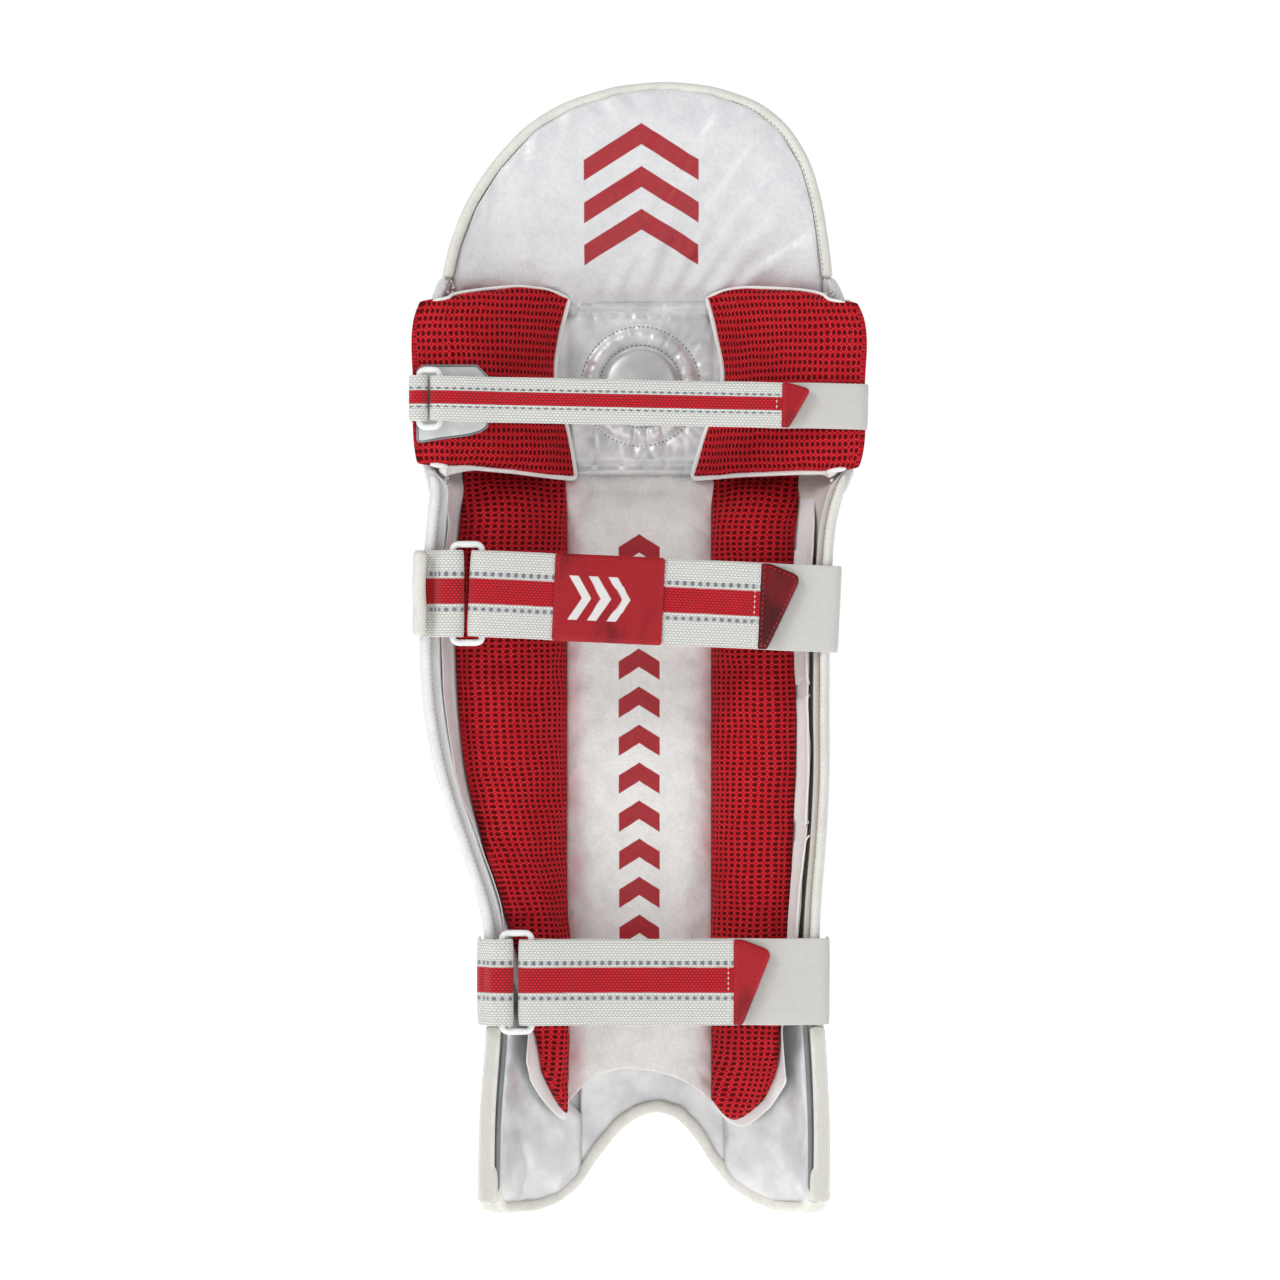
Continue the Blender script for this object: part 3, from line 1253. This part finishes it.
def lifted(z, base):
    """base, and more at the foot, where the bolsters lie over the foot pads."""
    return base + 13 * (1 - np.clip((z - 118) / 40, 0, 1))


def settled(z):
    """1 along the bolster and 0 where its top tucks under the wing."""
    return 1 - step_up(z, 424, 459)


bolsters = {}
for sign, side_name in SIDES:
    near, low, far_rows = BOLSTERS[sign]
    far = smooth(far_rows)

    def ends(over, near=near, far=far, sign=sign, inside=0.0):
        def side(u, z):
            lie = lifted(z, 1.2 + 7 * settled(z)) + 1.5
            outer = across_at(far(z)[..., 0] + sign * (over(z) if callable(over) else over), z, lie)
            inner = across_at(near - sign * inside + 0 * z, z, lie)
            return outer + (inner - outer) * inward(u, sign)

        return side

    def bolster_face(u, v, x, z, sign=sign):
        k = settled(z)
        round_top = arch(u, 2.15) * arch(v, 7)
        lumps = 1 + 0.05 * noise2(x, z, 55, sign + 6) + 0.03 * noise2(x, z, 20, sign + 9)
        strap = -2.2 * (bell(z - 383, 26) + bell(z - 146, 24)) * arch(u, 3)
        thick = 21.4 * (0.4 + 0.6 * step_up(z, 60, 165)) * lumps
        return lifted(z, 1.2 + 7 * k) + 2.6 + ((thick * round_top + strap) * k + 1.2 * round_top)

    def bolster_back(u, v, x, z):
        return lifted(z, 0.6 + 7.6 * settled(z))

    def tip(u, low=low, sign=sign):
        lean = inward(u, sign)
        return low + (26 * (1 - lean) ** 1.5 if sign < 0 else 13 * np.abs(2 * u - 1) ** 2)

    bolster = panel(
        f"calf_bolster_{side_name}_cover", MESH, ends(0), tip, level(BOLSTER_TOP), bolster_face, bolster_back,
        step=3.8,
    )
    bolsters[sign] = bolster
    made.append((bolster, KNEE_TURN, [f"calf_bolster_{side_name}"], "red_mesh", 0.8))
    swell.append((bolster, 2.5, 3.0, 0.012))

    def flange_face(u, v, x, z, sign=sign, top=0.0):
        wavy = 1.3 * noise2(x * 0.5, z * 1.6, 26, sign + 4) * step_up(1 - inward(u, sign), 0.8, 1.0)
        return lifted(z, 1.2 + 7 * settled(z)) - 1.3 - top + wavy

    def over(z):
        return 5.0 + 2.8 * step_up(z, 80, 150) + 0.9 * noise2(z * 0 + 3, z, 30, 4)

    flange = panel(
        f"bolster_flange_{side_name}_cloth", TRIM, ends(over), lambda u, t=tip: t(u) - 4.5, level(459),
        flange_face, lambda u, v, x, z, f=flange_face: f(u, v, x, z, top=1.1), step=4.5,
    )
    made.append((flange, KNEE_TURN, [f"bolster_flange_{side_name}"], "lining_pu", None))

# Foot

FOOT_ENDS = {  # s of each foot pad's two edges
    -1: lambda z: (-1.035 + 0 * z, across(-36 - 11 * np.clip((z - 60) / 12, 0, 1), z)),
    1: lambda z: (across(53 + 0 * z, z), 1.035 + 0 * z),
}


def foot_low(s):
    """The foot pads' lower edge, just over the binding."""
    return foot_under(s) + BINDING_HEIGHT - 1.5


for sign, side_name in SIDES:
    at = FOOT_ENDS[sign]

    def pad_side(u, z, at=at):
        a, b = at(np.asarray(z, float))
        return a + (b - a) * u

    def pad_face(u, v, x, z, sign=sign):
        tall = arch(v, 3) * arch(u, 2.3)
        soft = 0.9 * noise2(x, z, 30, sign + 2) + 0.45 * noise2(x * 2.2, z * 0.6, 14, sign)
        outer = (x + 62) if sign < 0 else (x - 92)
        ridge = 1.6 * bell(outer + (z - 60) * 0.05 * sign, 5) * step_up(z, 40, 90)
        return 4.4 + 8.8 * tall + (soft + ridge) * arch(u, 4) * arch(v, 4)

    foot_pad = panel(
        f"foot_pad_{side_name}_cover", SILVER, pad_side,
        lambda u, f=pad_side: foot_low(f(u, FOOT_ROW + 0 * u)), level(FOOT_SEAM + 3), pad_face,
        flat_at(GAP / 2 - 0.4), step=3.2,
    )
    made.append((foot_pad, "shin", [f"foot_pad_{side_name}"], "silver_pu", 0.5))
    swell.append((foot_pad, 1.8, 1.2, 0.015))

arch_side = between(lambda z: -37.5 + 0 * z, lambda z: 54.5 + 0 * z)
arch_panel = panel(  # with three soft upright creases
    "arch_panel_cover", SILVER, arch_side,
    lambda u: foot(place(arch_side(u, 40 + 0 * u), 40, 0)[..., 0]) + BINDING_HEIGHT - 1.0, level(110),
    lambda u, v, x, z: 4.2 + 0.7 * noise2(x, z, 22, 2) - 1.3 * bell(x - 6, 1.8) - 1.0 * bell(x - 15, 1.5)
    - 0.9 * bell(x + 12 + (z - 80) * 0.2, 1.8),
    flat_at(GAP / 2), step=3, ease=False,
)
made.append((arch_panel, "shin", ["arch_panel"], "silver_pu", 0.3))


FOOT_OUT, CORNER_RADIUS = 1.125, 9.0


def corner_lift(s):
    """How far the rounded corner rises at s."""
    x = np.abs(place(s, FOOT_ROW, 0)[..., 0])
    edge = np.abs(place(np.where(s < 0, -FOOT_OUT, FOOT_OUT), FOOT_ROW, 0)[..., 0])
    inside = np.clip(CORNER_RADIUS - (edge - x), 0, CORNER_RADIUS * 0.995)
    return CORNER_RADIUS - np.sqrt(CORNER_RADIUS**2 - inside**2)


def binding_low(u):
    s = -FOOT_OUT + 2 * FOOT_OUT * u
    return foot_under(s) + 0.2 + corner_lift(s)


def binding_high(u):
    s = -FOOT_OUT + 2 * FOOT_OUT * u
    column = place(s, FOOT_ROW, 0)[..., 0]
    slope = (foot(column + 1) - foot(column - 1)) / 2
    lift = 0.7 * corner_lift(s) + 12 * step_up(np.abs(s), 1.05, 1.08)
    return foot_under(s) + (BINDING_HEIGHT + 0.3) * np.minimum(np.hypot(1, slope), 1.9) + lift


foot_binding = panel(
    "foot_binding_cover", CREAM, around(-FOOT_OUT, FOOT_OUT), binding_low, binding_high,
    lambda u, v, x, z: 2.8 + 2.6 * step_up(-np.abs(2 * u - 1), -0.95, -0.88) + 2.6 * arch(v, 2),
    flat_at(-GAP / 2 - SHELL_THICK - 0.3), step=2.6, ease=False,
)
made.append((foot_binding, "shin", ["foot_binding"], "cream_pu", None))
for sign, side_name in SIDES:
    strip_ends = sorted((sign * 1.085, sign * FOOT_OUT))
    edge = panel(
        f"foot_edge_{side_name}_strip", CREAM, around(*strip_ends), level(16), level(118.5),
        lambda u, v, x, z: 2.2 + 1.2 * arch(u, 2.4) - 0.8 * step_up(z, 20, 110),
        flat_at(-GAP / 2 - SHELL_THICK - 0.3), step=2.4, ease=False,
    )
    made.append((edge, "shin", [f"foot_edge_{side_name}"], "cream_pu", None))

# Linings behind the seams that the knee and the flap bend at

for name, body, low, high, reach, size in (
    ("knee_gusset_lining", KNEE_TURN, SHIN_TOP - 4, KNEE_LOW + 4, SIDE_END, (0.435, 0.018)),
    ("flap_gusset_lining", FLAP_TURN, KNEE_TOP - 4, FLAP_LOW + 4, 0.85, (0.36, 0.018)),
):
    gusset = panel(
        name, WHITE, around(-reach, reach), level(low), level(high),
        flat_at(-GAP / 2 + 0.2), lambda u, v, x, z: -GAP / 2 - SHELL_THICK + 1.4 - 2.6 * arch(v, 2) + 0 * u,
        step=3, ease=False,
    )
    made.append((gusset, body, [], "white_pu", None))

# White cloth flaps over the right side, with torn ends

FLAPS = (  # lowest and highest z, inner and outer x, flat width in metres
    (328, 409, 99.5, 115.5, 0.0326), (242, 321, 98, 113.5, 0.0329), (137, 234, 97.5, 110.5, 0.0262),
)
for i, (low, high, x_near, x_far, width) in enumerate(FLAPS):

    def flap_sheet(u, v, x, z, i=i, top=0.0):
        curl = 1.6 * arch(v, 6) + 1.2 * noise2(x, z, 17, 20 + i) + 1.8 * (1 - arch(v, 12)) * np.sin(9 * u + i)
        return 5.4 + curl - top + 2.0 * (1 - u)

    torn = panel(
        f"side_cloth_flap_{i + 1}", TRIM,
        between(lambda z, a=x_near: a + 0 * z, lambda z, b=x_far, i=i: b + 1.2 * noise2(z * 0 + i, z, 9, 30 + i)),
        lambda u, low=low, i=i: low + 2.2 * noise2(u * 40, u * 0, 7, 40 + i),
        lambda u, high=high, i=i: high + 2.6 * noise2(u * 40, u * 0, 6, 50 + i),
        flap_sheet, lambda u, v, x, z, f=flap_sheet: f(u, v, x, z, top=0.9), step=2.4, ease=False,
    )
    made.append((torn, "shin", [], "lining_pu", None))

inflate(swell)
for piece, body, nodes, slot_name, fill in made:
    attach(piece, body, *nodes, slot=slot_name, padded=fill)

# Dome in the middle of the cup: rings of points round its top, and a flat bottom

cup_tree = surface_of(cup)
DOME_RINGS, DOME_TURNS = 14, 56
DOME_RADIUS, DOME_HEIGHT, DOME_SUNK = 23.6, 5.6, 6.0
angle = np.linspace(0, 2 * math.pi, DOME_TURNS, endpoint=False)
top_y = place(0, CUP_Z, 13.2)[1]


def dome_point(r, a, lift):
    x, z = CUP_X + DOME_RADIUS * r * np.cos(a), CUP_Z + DOME_RADIUS * r * np.sin(a)
    return np.stack([x, top_y - lift + 0 * x, z], -1)


points = [dome_point(0, 0, DOME_HEIGHT)]
for r in np.linspace(0, 1, DOME_RINGS + 1)[1:]:
    points.extend(dome_point(r, angle, DOME_HEIGHT * np.sqrt(1 - r**2.6) - 3.2 * step_up(r, 0.93, 1.0)))
bottom = len(points)
points = row_frame([*points, dome_point(0, 0, -DOME_SUNK), *dome_point(1.0, angle, -DOME_SUNK)])
faces = []
for k in range(DOME_TURNS):
    after = (k + 1) % DOME_TURNS
    rim = bottom - DOME_TURNS
    for base in range(1, rim, DOME_TURNS):
        outer = base + DOME_TURNS
        faces.append([base + k, base + after, outer + after, outer + k])
    faces.append([0, 1 + after, 1 + k])
    faces.append([rim + k, rim + after, bottom + 1 + after, bottom + 1 + k])
    faces.append([bottom, bottom + 1 + k, bottom + 1 + after])
dome_cover = mesh_piece("knee_dome_cover", points, faces, SILVER, points)
attach(dome_cover, "knee", "knee_dome", slot="silver_pu", padded=0.9)

# Seams, piping and trim


def circle(radius, count=90):
    a = np.linspace(0, 2 * math.pi, count + 1)
    return CUP_X + radius * np.cos(a), CUP_Z + radius * np.sin(a)


cup_stitches = [seen_from_leg(cup_tree, *circle(radius), lift=0.1) for radius in (RING_OUT, RING_IN + 1.1)]
stitch("knee", "knee_cup_ring_stitches", cup_stitches, GREY_THREAD, length=1.9, gap=0.9, radius=0.45)
line_x = np.linspace(-50, 52, 60)
cup_lines = [
    seen_from_leg(cup_tree, line_x, CUP_SEAM_HIGH - 1.2 * np.cos(line_x / 30) + 0.4 * np.sin(line_x / 7), lift=0.1),
    seen_from_leg(cup_tree, np.linspace(-42, 40, 50), np.full(50, float(CUP_SEAM_LOW)), lift=0.1),
]
stitch("knee", "knee_cup_edge_stitches", cup_lines, WHITE_THREAD, length=2.6, gap=0.8, radius=0.42)

for sign, side_name in SIDES:
    grid = fronts[wings[sign].name][::-sign]  # from the far edge to the middle
    inner_and_foot = np.concatenate([grid[-1, ::-1], grid[1:-1, 0][::-1]])
    for part, line, step, radius in (
        ("trim", inner_and_foot, 2.0, 0.0016), ("top_seam", grid[1:, -1], 2.5, 0.0011),
    ):
        line = row_frame(respaced(smoothed(line, 2), step))
        edge = tube(f"knee_wing_{side_name}_{part}", line, radius, TRIM, sides=8, taper=2)
        attach(edge, f"wing_{side_name}", slot="lining_pu")
seam = seen_from_leg(surface_of(wings[1]), np.full(60, 129.5), np.linspace(464, 558, 60), lift=0.02)
stitch("wing_right", "knee_wing_right_side_stitches", [seam], RED_THREAD, length=2.6, gap=1.0, radius=0.45)

# Piping round the flap

FLAP_MIDDLE = 600.0  # height of the point that the rim is drawn in towards
PIPING_RADIUS = 3.4

rim_line = []
for x, z in DOME:
    way = np.array([x, z - FLAP_MIDDLE])
    rim_x, rim_z = way * (1 - 3.3 / np.linalg.norm(way)) + [0, FLAP_MIDDLE]
    rim_line.append(place(across(rim_x, rim_z), rim_z, -0.4))
rim_line = respaced(smoothed(respaced(np.array(rim_line), 4.0), 6), 3.0)
piping = tube("flap_piping_roll", row_frame(rim_line), PIPING_RADIUS * MM, CREAM, sides=12, subdivide=1)
attach(piping, FLAP_TURN, "flap_piping", slot="cream_pu")
stitched = rim_line[(rim_line[:, 0] > 40) & (rim_line[:, 2] < 690)]  # the photo shows its stitches on the right
centre_way = unit((np.array([0, 0, FLAP_MIDDLE]) - stitched) * [1, 0, 1])
seam = lay_on(surface_of(piping), stitched + centre_way * PIPING_RADIUS - [0, 3.0, 0], lift=0.15)
stitch(FLAP_TURN, "flap_piping_stitches", [seam], GREY_THREAD, length=1.8, gap=1.2, radius=0.26)

# Side bindings: rolled edges with a seam line, and the velvet seams beside the foot pads

for sign, side_name in SIDES:
    z = np.linspace(FOOT_SEAM - 2, 456, 90)
    wide, material = (3.3, WHITE) if sign < 0 else (2.6, CREAM)
    line = row_frame(place(sign * 1.095, z, -2.6 + 0.25 * noise2(z * 0, z, 30, sign + 2)))
    binding = tube(
        f"side_binding_{side_name}_roll", line, wide * MM, material, sides=12, flatten=1.25, subdivide=1, taper=2,
    )
    attach(binding, KNEE_TURN, f"side_binding_{side_name}", slot="cream_pu")
    seam = lay_on(surface_of(binding), place(sign * 1.12, z[2:-2], 0.2), lift=0.05)
    stitch(
        KNEE_TURN, f"side_binding_{side_name}_stitches", [seam], GREY_THREAD, length=2.0, gap=1.1, radius=0.26,
    )
    edge_line = row_frame(place(sign * SIDE_END, np.linspace(17, 126, 60), 5.0))
    velvet = tube(f"foot_{side_name}_velvet_seam", edge_line, 0.0017, VELVET, sides=8, taper=2)
    attach(velvet, "shin", slot="silver_pu")

# Frayed ends of the bindings at the joints


def frayed(name, x, z, body, seed):
    """A small tuft of loose threads."""
    rng = np.random.default_rng(seed)
    base = place(across(x, z), z, 2.0)
    lines = []
    for _ in range(7):
        steps = np.cumsum(rng.normal(0, 0.8, (12, 3)) + rng.normal(0, 0.4, 3), 0)
        line = base + rng.uniform(-1, 1, 3) * (2.5, 1.0, 3.0) + np.clip(steps, (-3, -2, -5), (3, 1.5, 5))
        line = row_frame(respaced(smoothed(line, 2), 0.6))
        lines.append((line, np.tile((0.0, -1.0, 0.3), (len(line), 1))))
    stitch(body, name, lines, FRAY, length=3.2, gap=0.0, radius=0.95)


frayed("left_binding_fray", -126, 451, "shin", 3)
frayed("right_binding_fray", 128, 451, "shin", 5)
frayed("left_flap_fray", -117, 571, FLAP_TURN, 8)
frayed("right_flap_fray", 120, 568, FLAP_TURN, 13)

# Straps

BAR, RING_LOBE = 4, 5.5  # thickness of a ring, and how far it stands out above and below its strap
STRAPS = (  # name, body it is sewn to, width, height, plane, tilt, the ring's bars, end of webbing, tip
    ("knee", "knee", 28, 502, -53, 1.1, (-134, -121.5), 89.5, 14.5),
    ("calf", "shin", 53, 383, -59, 2.6, (-113.5, -95.5), 76, 21),
    ("ankle", "shin", 53, 146, -54, 0.0, (-83.5, -65.5), 60, 20),
)


def leaned(points, tilt, pivot, z):
    """Turned about an upright plane's own axis at x = pivot, then raised to z."""
    x, y, up = points[..., 0] - pivot, points[..., 1], points[..., 2]
    c, s = math.cos(tilt), math.sin(tilt)
    return np.stack([x * c + up * s + pivot, y, up * c - x * s + z], -1)


def turned(x, y, radius, low, high, steps=10, stretch=1.0):
    """An arc round x, y from low to high degrees."""
    a = np.radians(np.linspace(low, high, steps + 1))
    return np.stack([x + stretch * radius * np.cos(a), y + radius * np.sin(a)], -1)


def ribbon(name, path, width, z, tilt, pivot, material, thickness=WEB, sway=0.3, seed=0.0):
    """A strap of webbing along a path of x and y, with its middle at height z. It sways a little off its path."""
    path = respaced(np.array(path, float), 2.2)
    way = directions(path)
    normal = np.stack([-way[:, 1], way[:, 0]], -1)
    share = np.sin(np.linspace(-math.pi / 2, math.pi / 2, 15))
    length = run_length(path)
    thick = thickness / 2 * (1 - 0.5 * np.abs(share) ** 10)
    ends_in = np.minimum(np.minimum(length, length[::-1]) / 12, 1)
    drift = sway * noise2(length[:, None] + 40 * seed, share[None] * 20, 30, seed) * ends_in[:, None]
    edge = 0.35 * noise2(length, length * 0, 22, seed + 3)
    sides = []
    for face in (-1, 1):
        offset = face * thick[None] + drift
        flat_xy = path[:, None] + normal[:, None] * offset[..., None]
        up = share[None] * width / 2 + edge[:, None] * np.abs(share[None]) ** 3
        sides.append(leaned(np.concatenate([flat_xy, up[..., None]], -1), tilt, pivot, z))
    flat = np.stack(
        np.broadcast_arrays(length[:, None] * MM, share[None] * width / 2 * MM, (1 - share[None]) / 2), -1
    ).reshape(-1, 3)
    faces, _ = closed_grids(sides[0].shape)
    return mesh_piece(name, both_faces(*sides), faces, material, np.concatenate([flat, flat]), 1)


def slab(name, outline, y_front, y_back, tilt, pivot, z, material, inset=0.8):
    """A cut piece with softened edges. The outline is x and height round it, turning from right to up."""
    outline = respaced(np.array(outline, float), 1.6, closed=True)[:-1]
    middle = outline.mean(0)
    way = directions(outline, closed=True)
    into = np.stack([-way[:, 1], way[:, 0]], -1)
    depth, crowned = y_back - y_front, y_front - 0.15
    rings = [
        at_depth(outline + into * pull, y_front + depth * share)
        for pull, share in ((0.0, 0.5), (0.12, 0.2), (inset, 0.0))
    ]
    rings += [at_depth(middle + (outline + into * inset - middle) * shrink, crowned) for shrink in (0.82, 0.6, 0.35)]
    back_rings = [at_depth(outline + into * 0.12, y_front + depth * 0.8), at_depth(outline + into * inset, y_back)]
    middles = at_depth(middle[None], crowned), at_depth(middle[None], y_back)
    points = np.concatenate([*rings, middles[0], *back_rings, middles[1]])
    n = len(outline)
    faces = []

    def bridge(a, b):
        for k in range(n):
            faces.append([a + k, a + (k + 1) % n, b + (k + 1) % n, b + k])

    for ring in range(len(rings) - 1):
        bridge(ring * n, (ring + 1) * n)
    centre_front = len(rings) * n
    last = (len(rings) - 1) * n
    faces.extend([[last + k, last + (k + 1) % n, centre_front] for k in range(n)])
    first_back = centre_front + 1
    bridge(first_back, 0)
    bridge(first_back + n, first_back)
    centre_back = first_back + 2 * n
    faces.extend([[first_back + n + (k + 1) % n, first_back + n + k, centre_back] for k in range(n)])
    flat = np.stack([points[:, 0], points[:, 2], np.zeros(len(points))], -1) * MM
    flat[:, 0] -= middle[0] * MM
    placed = leaned(points, tilt, pivot, z)
    return mesh_piece(name, row_frame(placed), faces, material, flat, 1)


def rounded(width, height, radius, steps=5):
    """A rounded rectangle about 0, 0."""
    corners = []
    for cx, cy, turn in ((1, 1, 0), (-1, 1, 90), (-1, -1, 180), (1, -1, 270)):
        a = np.radians(np.linspace(turn, turn + 90, steps + 1))
        middle = np.array([cx * (width / 2 - radius), cy * (height / 2 - radius)])
        corners.append(middle + radius * np.stack([np.cos(a), np.sin(a)], -1))
    return np.concatenate(corners)


GUARD = [  # x, height over the strap's middle
    (-92.2, -14), (-92.2, 13.5), (-99.5, 20.3), (-132, 20.3), (-135.3, 17.5), (-135.3, -25.5), (-133, -26.3),
    (-122, -24.3), (-104, -22), (-96, -19.5), (-93, -17),
]

for name, parent, width, z, y, lean, (tab_bar, fold_bar), end, tip_long in STRAPS:
    tilt = math.radians(lean)
    fold_r, tab_r = BAR / 2 + 2.2 + WEB / 2, BAR / 2 + 1.4 + WEB / 2
    ring_y = y - fold_r
    heights = z + np.array([-1, -0.5, 0, 0.5, 1]) * width / 2
    outside = GAP / 2 + SHELL_THICK + 0.9 + WEB / 2
    left_edge = -plan(heights + 8)[:, 0].max() - outside
    right_edge = plan(heights - 4)[:, 1].max() + outside + math.sin(tilt) * width / 2
    free = f"{name}_strap_free"
    loose = 1.0 if name == "knee" else 1.38  # how far the folds stand off their bars

    if name == "knee":
        lead_in = [(left_edge, ring_y - 2), (left_edge + 1.2, ring_y - tab_r + 0.8)]
    else:
        lead_in = [(left_edge + 1.4, y - 0.5), (tab_bar - 11, y - 0.5), (tab_bar - 6, ring_y - tab_r + 0.6)]
    tab_fold = turned(tab_bar, ring_y, tab_r, 270, 450, 14, loose)
    tab_path = [(left_edge, y + 30), (left_edge, y + 6), *lead_in, *tab_fold, (tab_bar - 3, ring_y + tab_r)]
    tab = ribbon(f"{name}_tab_webbing", tab_path, width, z, 0, fold_bar, WEBBING, seed=1.0 + width)
    attach(tab, parent, f"{name}_tab", slot="webbing")

    outline = rounded(fold_bar - tab_bar, width + 2 * RING_LOBE - BAR, 3.4)
    middle = (tab_bar + fold_bar) / 2
    ring_line = row_frame(respaced(at_depth(outline + [middle, z], ring_y), 1.8, closed=True)[:-1])
    ring = tube(f"{name}_ring_moulding", ring_line, 0.0021, PLASTIC, sides=12, closed=True, subdivide=1)
    attach(ring, f"{name}_ring_body", f"{name}_ring", slot="ring_plastic")

    loop_path = [(right_edge, y + 30), (right_edge, y + 4), (right_edge - 1.2, y + 1.2), (right_edge - 4, y),
                 *turned(fold_bar, ring_y, fold_r, 90, 105, 2, loose)]
    loop = ribbon(f"{name}_loop_strap_pile", loop_path, width, z, tilt, fold_bar, PILE, seed=2.0 + width)
    attach(loop, parent, f"{name}_loop_strap", slot="loop_pile")

    hinge = fold_bar + 3 + WEB / 2 + SKIN
    lay = y - WEB - 2 * SKIN - HOOK_THICK
    fold_path = [*turned(fold_bar, ring_y, fold_r, 100, 270, 16, loose), (hinge + 2, ring_y - fold_r),
                 (hinge + 12, ring_y - fold_r + 0.8), (hinge + 34, lay - 0.4), (hinge + 44, lay), (end + 1.5, lay)]
    webbing_end = ribbon(f"{name}_strap_webbing", fold_path, width - 0.6, z, tilt, fold_bar, WEBBING, seed=5.0 + width)
    low, high = Vector(row_frame([fold_bar + 0.5, ring_y, z])), Vector(row_frame([hinge + 7, ring_y, z]))
    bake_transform(webbing_end)
    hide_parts(f"{name}_strap_end")

    hook_y = y - WEB / 2 - SKIN
    hook = slab(
        f"{name}_hook_tape", rounded(62, width - 8, 2) + [end - 4 - 31, 0], hook_y - HOOK_THICK, hook_y, tilt,
        fold_bar, z, HOOK,
    )
    attach(hook, free, f"{name}_hook_patch", slot="hook_tape")

    half = width / 2 - 0.3
    curve = [(-2.5, -half), (tip_long * 0.16, -half), (tip_long * 0.55, -half * 0.28), (tip_long * 0.93, half * 0.45)]
    nose = [(tip_long * 1.0, half * 0.60), (tip_long * 0.98, half * 0.72), (tip_long * 0.85, half * 0.80)]
    outline = np.array([*curve, *nose, (tip_long * 0.15, half), (-2.5, half)]) + [end, 0]
    tip_piece = slab(
        f"{name}_tip_pull", outline, lay - WEB / 2 - 0.9, lay + WEB / 2 + 0.5, tilt, fold_bar, z,
        DARK_TIP if name == "calf" else TIP,
    )
    attach(tip_piece, free, f"{name}_strap_tip", slot="red_pu")
    seam = respaced(outline, 1.5, closed=True)
    way = directions(seam)
    seam = at_depth(seam + np.stack([-way[:, 1], way[:, 0]], -1) * 1.9, lay - 3.0)
    seam = lay_on(surface_of(tip_piece), leaned(seam, tilt, fold_bar, z), lift=0.05)
    stitch(free, f"{name}_tip_stitches", [seam], RED_THREAD, length=2.2, gap=0.9, radius=0.38)
    web_tree = surface_of(webbing_end)
    across_line = np.linspace(-width / 2 + 1.5, width / 2 - 1.5, 40)
    lines = []
    for at, part in ((end - 5.5, across_line), (fold_bar + 13, across_line[13:27])):
        seam = at_depth(np.stack([np.full(len(part), at), part], -1), lay - 4.0)
        lines.append(lay_on(web_tree, leaned(seam, tilt, fold_bar, z), lift=0.08))
    stitch(free, f"{name}_box_stitches", lines, WHITE_THREAD, length=2.4, gap=0.8, radius=0.36)

    if name == "calf":
        badge_y, badge_x = lay - WEB / 2 - SKIN, -18.5
        badge = slab(
            "calf_badge_patch", rounded(67, width + 0.5, 1.2) + [badge_x, 0], badge_y - 1.3, badge_y + 0.3, tilt,
            fold_bar, z, BADGE, inset=0.6,
        )
        attach(badge, free, "calf_strap_badge", slot="red_pu")
        seam = respaced(rounded(62, width - 4.5, 1.2) + [badge_x, 0], 1.5, closed=True)
        seam = lay_on(surface_of(badge), leaned(at_depth(seam, badge_y - 2.5), tilt, fold_bar, z), lift=0.05)
        stitch(free, "calf_badge_stitches", [seam], RED_THREAD, radius=0.32)
        keeper_z = z + np.linspace(-width / 2, width / 2, 30)
        keeper_x = left_edge + 2.5 + 0.5 * noise2(keeper_z, keeper_z * 0, 14, 2)
        keeper_line = row_frame(at_depth(np.stack([keeper_x, keeper_z], -1), y - 0.5 - WEB / 2 - SKIN - 4.2))
        keeper = tube("calf_keeper_roll", keeper_line, 0.0042, CREAM, sides=14, subdivide=1, taper=1.2)
        attach(keeper, "shin", "calf_keeper", slot="cream_pu")
    if name == "knee":
        guard_y = y + 1.9
        guard = slab("knee_ring_guard_patch", GUARD, guard_y, guard_y + 2.2, 0, fold_bar, z, SILVER, inset=1.0)
        attach(guard, "knee", "knee_ring_guard", slot="silver_pu")
        edge_line = respaced(np.array(GUARD, float), 1.5, closed=True)[:-1] + [0, z]
        edge_line = row_frame(at_depth(edge_line, guard_y + 0.3))
        edging = tube("knee_ring_guard_edging", edge_line, 0.0007, VELVET, sides=8, closed=True)
        attach(edging, "knee", slot="silver_pu")

# The canes in the shin rolls keep their CAD shape.

for i in range(ROLL_COUNT):
    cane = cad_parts[f"cane_{i + 1}"]
    cane.data.materials.clear()
    cane.data.materials.append(CANE)

# ---- floor ----

FLOOR_HALF, FLOOR_GLOW = 40, 0.66  # metres, and enough light for the floor to meet the white behind it unseen
floor_look = Look("studio_floor", Roughness=0.9, Emission_Strength=FLOOR_GLOW, Emission_Color=WHITE_LIGHT)
cloud = floor_look.noise(floor_look.object_point(), 3.0)
floor_look.finish(floor_look.mix(cloud, rgb("F6F6F5"), rgb("FAFAF9")))
corners = [(FLOOR_HALF * x, FLOOR_HALF * y, 0) for x, y in ((-1, -1), (1, -1), (1, 1), (-1, 1))]
mesh_piece("floor", corners, [(0, 1, 2, 3)], floor_look.material)
